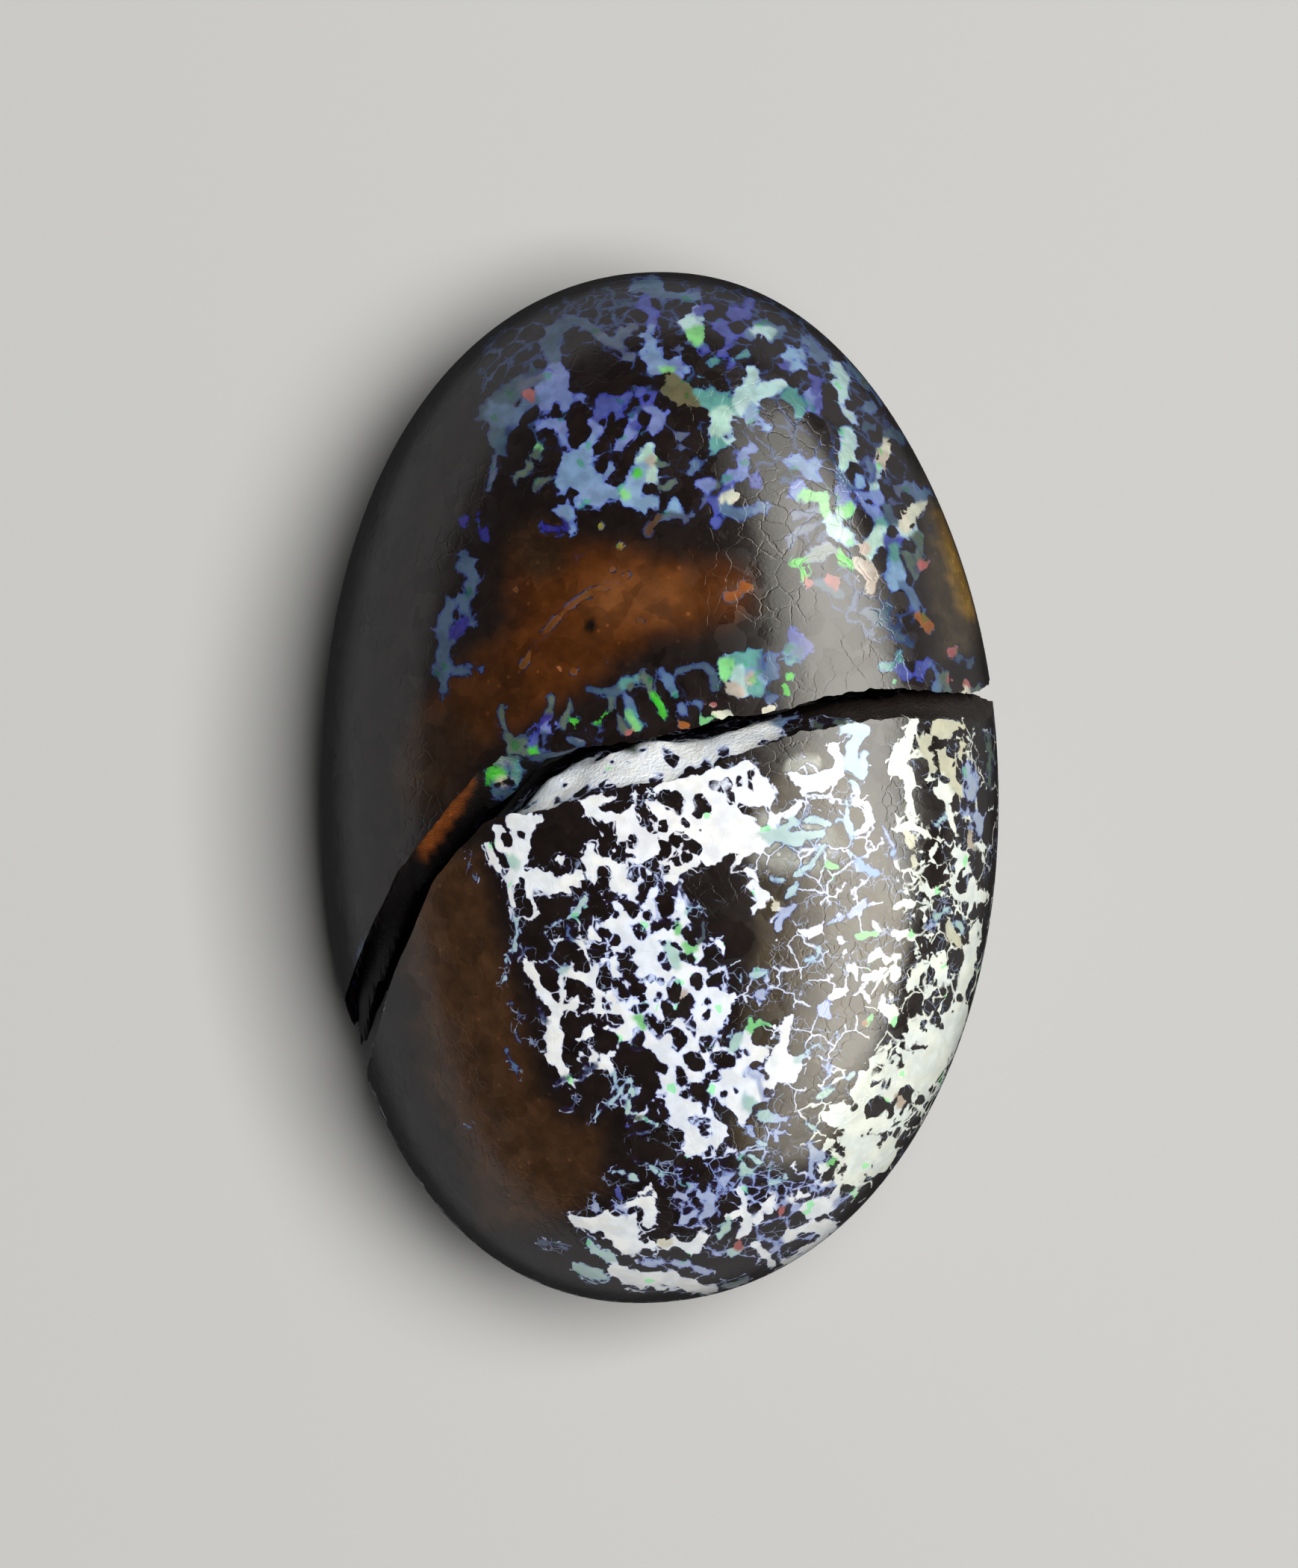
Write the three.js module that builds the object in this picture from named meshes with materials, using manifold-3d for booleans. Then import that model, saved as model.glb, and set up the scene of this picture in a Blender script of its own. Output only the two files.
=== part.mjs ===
// A boulder opal nodule: an egg-shaped pebble of ironstone and opal, polished all round, that has
// broken right through. Its two halves lie side by side as they broke, each on its own part of the
// flattened underside, with a narrow gap between their rough faces.
// Millimetres. X runs across the stone, Y along it and Z up from the surface that it rests on.
// The origin is at the bottom centre.
import * as THREE from "three";
import { mergeVertices } from "three/addons/utils/BufferGeometryUtils.js";
import Module from "manifold-3d";

const wasm = await Module();
wasm.setup();

// Driving dimensions of the whole stone
const LENGTH = 41;
const WIDTH = 27;
const HEIGHT = 20;

// The cross-section half way along: where its four outermost points lie
const CROWN_X = 2.2;
const KEEL_X = -0.8;
const LEFT_RIM_Z = 6.2;
const RIGHT_RIM_Z = 11.6;
const KEEL_Z = -1.5; // the underside before its flat was ground at Z 0
const END_Z = 9; // the height of both ends
const FULLNESS = 2.1; // 2 is a true ellipse along the stone, and more is fuller
const MIDDLE = [-0.16, -0.23]; // puts the uneven stone's box over the origin

// Broad unevenness left by polishing by hand: share of the radius, waves along X, Y and Z, start
const LUMPS = [
  [0.009, 1.9, 2.6, 0.7, 0.4],
  [0.007, 3.4, -1.6, 2.2, 1.9],
  [0.005, -2.3, 4.7, 3.1, 3.3],
];

// The break seen from above, from the right rim to the left. BREAK_LINE is the middle of the gap
// below the lip, and the other two are the polished edges that its chipped lips leave.
const BREAK_LINE = [
  [16, 2.3], [13, 2.7], [9.4, 3.25], [7, 3], [4.85, 2.55], [2.7, 2.45], [0.65, 2.2],
  [-1.1, 1.9], [-2.9, 1.6], [-4.4, 1], [-5.6, 0.1], [-6.7, -0.9], [-7.6, -1.85],
  [-8.5, -3.05], [-9.4, -4.5], [-10.2, -6], [-11.1, -8], [-12.2, -10.8], [-16, -20],
];
const UPPER_EDGE = [
  [16, 2.8], [13.3, 3.2], [11, 3.5], [9.4, 3.78], [6.95, 3.57], [4.85, 3], [2.7, 2.68],
  [0.65, 2.1], [-1.1, 1.72], [-2.9, 1.57], [-4.5, 1.28], [-5.95, 1.25], [-6.9, 0.6],
  [-7.8, -0.46], [-9.05, -1.96], [-10.1, -3.3], [-10.8, -4.6], [-11.5, -6], [-12.1, -7.6],
  [-16, -17],
];
const LOWER_EDGE = [
  [16, 1.8], [13.3, 2.3], [9.3, 2.7], [7.25, 2.4], [4.85, 1.94], [2.7, 1.14], [0.65, 0.29],
  [-2.35, -0.15], [-4.15, -0.86], [-5.7, -1.06], [-6.6, -1.35], [-7.65, -2.3], [-8.75, -3.8],
  [-9.4, -5.3], [-10, -6.6], [-10.85, -8.8], [-11.9, -12], [-16, -22],
];
const GAP = 0.85; // between the two broken faces, square to them
const LIP_DEPTH = 1.5; // how far down the chipped lips reach

// Relief of the broken faces: height, waves along X and Z, start
const SWELLS = [
  [0.34, 0.31, 0.27, 0.5],
  [0.16, -0.83, 0.62, 2.1],
  [0.1, 1.45, 1.31, 4.0],
];
const CRUMB = 0.13; // height of the small facets on a broken face
const BOW = 0.9; // half way down, the break bows out by this much
const BOW_TURN_X = -3.2; // it bows towards +Y to the right of here, and towards -Y to the left
const BOW_TURN_WIDTH = 2.5;
const BOW_END_X = -12.6; // it is straight from here to the left, and fully bowed 4 mm further in
const BOW_END_WIDTH = 4;

// Fineness of the facets
const SKIN_DETAIL = 13;
const FACET = 0.95;
const ROWS = 22;

const REACH = 30; // how far the cutting solids run past the stone
const TOP_SPARE = 3;
const TOP_OF_CUT = HEIGHT + TOP_SPARE;
const SLOPE_REACH = 0.6; // the break's slope is taken between two places this far to each side
const LEAST_SHARE = 0.05; // of the full cross-section, so that nothing is divided by zero at an end
const MERGE_WITHIN = 1e-5;
const SCATTER = [12.9898, 78.233, 43758.5453]; // uneven numbers that make each crumb's height its own

/** A point of the cross-section half way along, at an angle from +X towards +Z. */
function sectionPoint(angle) {
  const right = Math.cos(angle) >= 0;
  const above = Math.sin(angle) >= 0;
  const middleX = above ? CROWN_X : KEEL_X;
  const middleZ = right ? RIGHT_RIM_Z : LEFT_RIM_Z;
  const farX = right ? WIDTH / 2 : -WIDTH / 2;
  const farZ = above ? HEIGHT : KEEL_Z;
  return [
    middleX + (farX - middleX) * Math.abs(Math.cos(angle)),
    middleZ + (farZ - middleZ) * Math.abs(Math.sin(angle)),
  ];
}

/** How much of its full size the cross-section has at y along the stone. */
function sectionShare(y) {
  const along = Math.min(Math.abs(y) / (LENGTH / 2), 1);
  return (1 - along ** FULLNESS) ** (1 / FULLNESS);
}

/** Moves a point of the unit sphere to the polished surface. */
function toPolished(point) {
  const { x, y, z } = point;
  const across = Math.hypot(x, z);
  const full = (across ** FULLNESS + Math.abs(y) ** FULLNESS) ** (-1 / FULLNESS);
  const [sectionX, sectionZ] = sectionPoint(Math.atan2(z, x));
  const swell = LUMPS.reduce(
    (sum, [share, wx, wy, wz, start]) => sum + share * Math.sin(wx * x + wy * y + wz * z + start),
    1,
  );
  return point.set(
    MIDDLE[0] + sectionX * across * full * swell,
    MIDDLE[1] + (LENGTH / 2) * y * full * swell,
    END_Z + (sectionZ - END_Z) * across * full * swell,
  );
}

/** The height of the polished top at (x, y), or of the rim beyond it. */
function topHeight(x, y) {
  const share = Math.max(sectionShare(y), LEAST_SHARE);
  const middleZ = x / share >= CROWN_X ? RIGHT_RIM_Z : LEFT_RIM_Z;
  const farX = x / share >= CROWN_X ? WIDTH / 2 : -WIDTH / 2;
  const out = Math.min(Math.abs((x / share - CROWN_X) / (farX - CROWN_X)), 1);
  const sectionZ = middleZ + (HEIGHT - middleZ) * Math.sqrt(1 - out * out);
  return END_Z + (sectionZ - END_Z) * share;
}

/** y on a line of points whose x falls from one to the next. */
function lineAt(line, x) {
  const next = Math.max(1, line.findIndex(([px]) => px <= x));
  const [[x0, y0], [x1, y1]] = [line[next - 1], line[next]];
  return y0 + ((y1 - y0) * (x - x0)) / (x1 - x0);
}

/** A repeatable number from -1 to 1 for a place on the broken face. */
function crumbAt(x, z) {
  const [acrossX, upZ, size] = SCATTER;
  const mixed = Math.sin(x * acrossX + z * upZ) * size;
  return 2 * (mixed - Math.floor(mixed)) - 1;
}

/** y of a half's broken face at (x, z); side is 1 for the upper half and -1 for the lower one. */
function brokenFace(x, z, side, edge) {
  const rise = lineAt(BREAK_LINE, x + SLOPE_REACH) - lineAt(BREAK_LINE, x - SLOPE_REACH);
  const slope = rise / (2 * SLOPE_REACH);
  const bow =
    BOW *
    Math.sin((Math.PI * z) / HEIGHT) *
    Math.tanh((x - BOW_TURN_X) / BOW_TURN_WIDTH) *
    THREE.MathUtils.clamp((x - BOW_END_X) / BOW_END_WIDTH, 0, 1);
  const relief = SWELLS.reduce(
    (sum, [height, wx, wz, start]) => sum + height * Math.sin(wx * x + wz * z + start),
    bow + CRUMB * crumbAt(x, z),
  );
  const middle = lineAt(BREAK_LINE, x);
  const deep = middle + (relief + (side * GAP) / 2) * Math.hypot(1, slope);
  const depth = topHeight(x, middle) - z;
  const lip = THREE.MathUtils.clamp(1 - depth / LIP_DEPTH, 0, 1);
  return THREE.MathUtils.lerp(deep, lineAt(edge, x) + CRUMB * crumbAt(x, 0), lip);
}

/** The x of each column of facets, so that they stay even where the break turns along Y. */
function columnPlaces() {
  const places = [BREAK_LINE[0][0]];
  for (let i = 1; i < BREAK_LINE.length; i += 1) {
    const [[x0, y0], [x1, y1]] = [BREAK_LINE[i - 1], BREAK_LINE[i]];
    const steps = Math.ceil(Math.hypot(x1 - x0, y1 - y0) / FACET);
    for (let k = 1; k <= steps; k += 1) places.push(x0 + ((x1 - x0) * k) / steps);
  }
  return places.reverse();
}

/** A closed indexed mesh as a solid. */
function toSolid(geometry) {
  geometry.deleteAttribute("normal");
  geometry.deleteAttribute("uv");
  const merged = mergeVertices(geometry, MERGE_WITHIN);
  return new wasm.Manifold(
    new wasm.Mesh({
      numProp: 3,
      vertProperties: new Float32Array(merged.attributes.position.array),
      triVerts: new Uint32Array(merged.index.array),
    }),
  );
}

/** A solid as a geometry. */
function toGeometry(solid) {
  const mesh = solid.getMesh();
  const geometry = new THREE.BufferGeometry();
  geometry.setAttribute("position", new THREE.BufferAttribute(mesh.vertProperties, 3));
  geometry.setIndex(new THREE.BufferAttribute(mesh.triVerts, 1));
  geometry.computeVertexNormals();
  return geometry;
}

/** The whole stone, its underside not yet flat. */
function wholeStone() {
  const geometry = new THREE.IcosahedronGeometry(1, SKIN_DETAIL);
  const places = geometry.attributes.position;
  const point = new THREE.Vector3();
  for (let i = 0; i < places.count; i += 1) {
    toPolished(point.fromBufferAttribute(places, i).normalize());
    places.setXYZ(i, point.x, point.y, point.z);
  }
  return toSolid(geometry);
}

/** Everything above Z 0 on one side of the break. */
function sideOfBreak(side, edge) {
  const columns = columnPlaces();
  const geometry = new THREE.BoxGeometry(1, 1, 1, columns.length - 1, 1, ROWS);
  const places = geometry.attributes.position;
  for (let i = 0; i < places.count; i += 1) {
    const x = columns[Math.round((places.getX(i) + 0.5) * (columns.length - 1))];
    const z = (places.getZ(i) + 0.5) * TOP_OF_CUT;
    const onBreak = places.getY(i) * side < 0;
    places.setXYZ(i, x, onBreak ? brokenFace(x, z, side, edge) : side * REACH, z);
  }
  return toSolid(geometry);
}

/** One half of the stone. */
function half(name, side, edge, material) {
  const solid = wholeStone().intersect(sideOfBreak(side, edge));
  const mesh = new THREE.Mesh(toGeometry(solid), material);
  mesh.name = name;
  return mesh;
}

const darkIronstone = new THREE.MeshStandardMaterial({
  color: 0x33241c,
  roughness: 0.2,
  metalness: 0,
});
const paleOpal = new THREE.MeshStandardMaterial({
  color: 0x8f8a86,
  roughness: 0.2,
  metalness: 0,
});

const nodule = new THREE.Group();
nodule.name = "boulder_opal_nodule";
nodule.add(
  half("upper_half", 1, UPPER_EDGE, darkIronstone),
  half("lower_half", -1, LOWER_EDGE, paleOpal),
);

export default nodule;
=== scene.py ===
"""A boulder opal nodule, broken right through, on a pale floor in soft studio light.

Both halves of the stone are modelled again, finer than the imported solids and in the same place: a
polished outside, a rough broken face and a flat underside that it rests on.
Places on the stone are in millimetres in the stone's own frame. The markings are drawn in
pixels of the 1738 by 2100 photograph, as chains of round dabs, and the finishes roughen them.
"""

import logging
import math
from collections.abc import Iterable
from dataclasses import dataclass, replace
from enum import Enum

import bmesh
import bpy
import numpy as np
from mathutils import Matrix, Vector, noise


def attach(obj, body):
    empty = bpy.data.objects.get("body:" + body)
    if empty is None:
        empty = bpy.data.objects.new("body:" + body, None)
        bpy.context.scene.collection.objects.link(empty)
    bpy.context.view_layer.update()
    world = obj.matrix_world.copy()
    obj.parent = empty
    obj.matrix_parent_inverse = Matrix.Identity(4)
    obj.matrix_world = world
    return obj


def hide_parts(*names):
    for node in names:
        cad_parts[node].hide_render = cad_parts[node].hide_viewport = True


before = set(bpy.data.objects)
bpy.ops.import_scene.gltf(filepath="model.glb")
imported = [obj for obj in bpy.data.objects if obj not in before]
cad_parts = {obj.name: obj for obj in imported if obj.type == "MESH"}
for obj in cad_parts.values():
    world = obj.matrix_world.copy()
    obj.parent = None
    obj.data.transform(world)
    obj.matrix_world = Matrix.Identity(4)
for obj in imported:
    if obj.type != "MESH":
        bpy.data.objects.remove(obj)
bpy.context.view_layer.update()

MM = 0.001
DIM = 0.74  # the studio's light shows colours brighter than they are

# The screen's curve from a shown colour to light
STEPS = 255
TOE = 0.055
CURVE = 2.4

# How strokes are made uneven, in pixels
SMALL_PX = 8  # a stroke that starts with a lesser radius has fewer sides
SIDES = 6
SIDES_OF_SMALL = 5
TURN_SEED = (13, 7)  # times a stroke's first place, so that each is turned its own way
TURN_SPREAD = 0.3  # of a side
ROCK_SHARE = 1.04  # of its drawn size, for a stroke of bare rock
# Each wave widens large strokes: width, waves across, waves down, start
WAVES = ((1.2, 0.19, 0.11, 1.0), (1.0, -0.13, 0.23, 2.2), (0.8, 0.31, -0.27, 0.4))

MIDDLE = 0.5  # of a noise, and of a cell's chances
BROKEN = 1  # the number of the broken face's material on each half

log = logging.getLogger("boulder_opal")

Points = np.ndarray
Socket = bpy.types.NodeSocket
Colour = tuple[float, float, float]
Place = tuple[float, float]
Span = tuple[float, float]
Spot = tuple[float, float, float]


class Side(Enum):
    """Which half of the stone: the value is the sign of Y that it lies towards."""

    UPPER = 1
    LOWER = -1


class Tint(Enum):
    """The colours of opal, as they show on a screen, in steps of 255."""

    SLATE = (70, 90, 106)
    HAZE = (78, 95, 118)
    STEEL = (92, 115, 144)
    PERIWINKLE = (128, 153, 188)
    SKY = (136, 166, 196)
    LILAC = (124, 138, 188)
    IRIS = (84, 90, 158)
    VIOLET = (60, 54, 130)
    MAUVE = (90, 100, 118)
    LAVENDER = (180, 190, 216)
    WHITE = (252, 253, 249)
    # painted light: a white brighter than white, so that the steep broken face, which the lamps light
    # little, shows bright
    PAINTED_LIGHT_WHITE = (282, 284, 281)
    PALE = (184, 210, 206)
    MINT = (186, 216, 200)
    TEAL = (100, 156, 148)
    GREEN = (138, 212, 132)
    LEAF = (80, 190, 60)
    MOSS = (92, 106, 92)
    OLIVE = (106, 100, 74)
    STONE = (140, 150, 146)
    CREAM = (220, 214, 192)
    BLUSH = (199, 180, 165)
    ROSE = (170, 95, 95)
    ORANGE = (155, 88, 42)
    HONEY = (114, 66, 28)
    GOLD = (150, 125, 50)
    UMBER = (90, 65, 48)


# The tints by their own names, for the drawings
(
    SLATE, HAZE, STEEL, PERIWINKLE, SKY, LILAC, IRIS, VIOLET, MAUVE, LAVENDER, WHITE, PAINTED_LIGHT_WHITE, PALE, MINT,
    TEAL, GREEN, LEAF, MOSS, OLIVE, STONE, CREAM, BLUSH, ROSE, ORANGE, HONEY, GOLD, UMBER,
) = Tint
ROCK = None  # in place of a tint, for a stroke of bare rock


def linear(shown: tuple[float, ...]) -> Colour:
    """A colour in steps of 255 as it shows, turned into light."""
    return tuple(DIM * ((part / STEPS + TOE) / (1 + TOE)) ** CURVE for part in shown)


def wavering(at: Points) -> Points:
    """How much wider a large stroke is drawn at each place, in pixels: below 0 is narrower."""
    return sum(width * np.sin(at @ (along, down) + start) for width, along, down, start in WAVES)


def eased(value: Points, low: float, high: float) -> Points:
    """0 below low, 1 above high and smooth between them."""
    share = np.clip((value - low) / (high - low), 0, 1)
    return share * share * (3 - 2 * share)


@dataclass(frozen=True)
class Stroke:
    """A chain of round dabs joined up, each (across, down, radius) in the photograph's pixels."""

    tint: Tint | None
    dabs: tuple[Spot, ...]

    def near(self, at: Points, reach: float) -> Points:
        """Numbers of the places less than about reach away."""
        dabs = np.array(self.dabs, dtype=float)
        low = (dabs[:, :2] - dabs[:, 2:]).min(axis=0) - reach
        high = (dabs[:, :2] + dabs[:, 2:]).max(axis=0) + reach
        return np.flatnonzero(((at > low) & (at < high)).all(axis=1))

    def outside(self, at: Points) -> Points:
        """How far places are outside the stroke, which is less than 0 inside it.

        Each stroke's dabs are one polygon, turned its own way, so that it has edges and corners.
        """
        x, y, radius = self.dabs[0]
        chance = np.random.default_rng(int(TURN_SEED[0] * x + TURN_SEED[1] * y))
        sides = SIDES_OF_SMALL if radius < SMALL_PX else SIDES
        spread = chance.uniform(-TURN_SPREAD, TURN_SPREAD, sides)
        turns = (np.arange(sides) + spread) * 2 * np.pi / sides
        turns += chance.uniform(0, 2 * np.pi)
        facing = np.stack([np.cos(turns), np.sin(turns)])
        share_of_size = ROCK_SHARE if self.tint is None else 1.0
        least = np.full(len(at), np.inf)
        wider = wavering(at)
        ends = [*self.dabs[1:], self.dabs[-1]]
        for (x0, y0, r0), (x1, y1, r1) in zip(self.dabs, ends):
            run = np.array([x1 - x0, y1 - y0], dtype=float)
            share = np.clip((at - (x0, y0)) @ run / max(run @ run, 1.0), 0, 1)
            offset = at - (x0, y0) - share[:, None] * run
            reach = (offset @ facing).max(axis=1)
            size = r0 + share * (r1 - r0)
            size = share_of_size * size + wider * np.minimum(size / SMALL_PX, 1)
            least = np.minimum(least, reach - size)
        return least


def stroke(tint: Tint | None, *dabs: Spot) -> Stroke:
    """Opal of a tint, or bare rock where that is None."""
    return Stroke(tint, dabs)


def strokes(tint: Tint | None, *chains: tuple[Spot, ...]) -> tuple[Stroke, ...]:
    """Strokes of one tint that are drawn one after another."""
    return tuple(Stroke(tint, chain) for chain in chains)


@dataclass(frozen=True)
class Zone:
    """A soft-edged area with its own share of opal, tint or rock colour, where they are given.

    A veil is what all the opal's tints there are multiplied by.
    """

    dabs: tuple[Spot, ...]
    level: float | None = None
    tint: Tint | None = None
    rock: Colour | None = None
    veil: Colour | None = None
    soft: float = 25.0

    def cover(self, at: Points) -> Points:
        """1 inside the area, falling to 0 at its soft edge."""
        return 1 - eased(Stroke(None, self.dabs).outside(at), 0, self.soft)


@dataclass(frozen=True)
class Drawing:
    """All that is drawn on one surface.

    The level says where the opal is: it is the distance in pixels from its edge, above 0 in opal
    and below 0 in rock. Where nothing is drawn, the finish makes up a network about that level.
    """

    level: float
    tint: Tint
    rock: Colour
    zones: tuple[Zone, ...]
    strokes: tuple[Stroke, ...]
    plain_level: float = -5.0
    grow: float = 0.0
    depth: float = 12.0
    least_free: float = 0.6
    quiet: float = 5.0
    reach: float = 20.0
    bleed: Span = (1.0, 6.0)

    def plain(self, name: str) -> float | Points:
        """What a value is where nothing is drawn and the finish is free."""
        plain = {
            "level": self.plain_level,
            "free": 1.0,
            "tint": np.array(linear(self.tint.value)),
            "rock": np.array(linear(self.rock)),
        }
        return plain[name]

    def paint(self, at: Points) -> dict[str, Points]:
        """Draws everything.

        Args:
            at: one pair of pixel coordinates in each row.

        Returns:
            The level, how free the finish is, the tint and the rock's colour at each place.
        """
        level = np.full(len(at), self.level)
        free = np.ones(len(at))
        tint = np.tile(linear(self.tint.value), (len(at), 1))
        rock = np.tile(linear(self.rock), (len(at), 1))
        for zone in self.zones:
            cover = zone.cover(at)
            if zone.level is not None:
                level += (zone.level - level) * cover
            if zone.tint is not None:
                tint += (linear(zone.tint.value) - tint) * cover[:, None]
            if zone.rock is not None:
                rock += (linear(zone.rock) - rock) * cover[:, None]
        for drawn in self.strokes:
            some = drawn.near(at, self.reach)
            outside = drawn.outside(at[some])
            hushed = self.least_free + (1 - self.least_free) * eased(outside, self.quiet, self.reach)
            free[some] = np.minimum(free[some], hushed)
            if drawn.tint is None:
                level[some] = np.minimum(level[some], outside)
                continue
            level[some] = np.maximum(level[some], self.grow - outside)
            cover = 1 - eased(outside - self.grow, *self.bleed)[:, None]
            tint[some] += (linear(drawn.tint.value) - tint[some]) * cover
        for zone in self.zones:
            if zone.veil is not None:
                tint *= 1 + (np.array(zone.veil) - 1) * zone.cover(at)[:, None]
        level = np.clip(level, -self.depth, self.depth)
        return {"level": level, "free": free, "tint": tint, "rock": rock}


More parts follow.
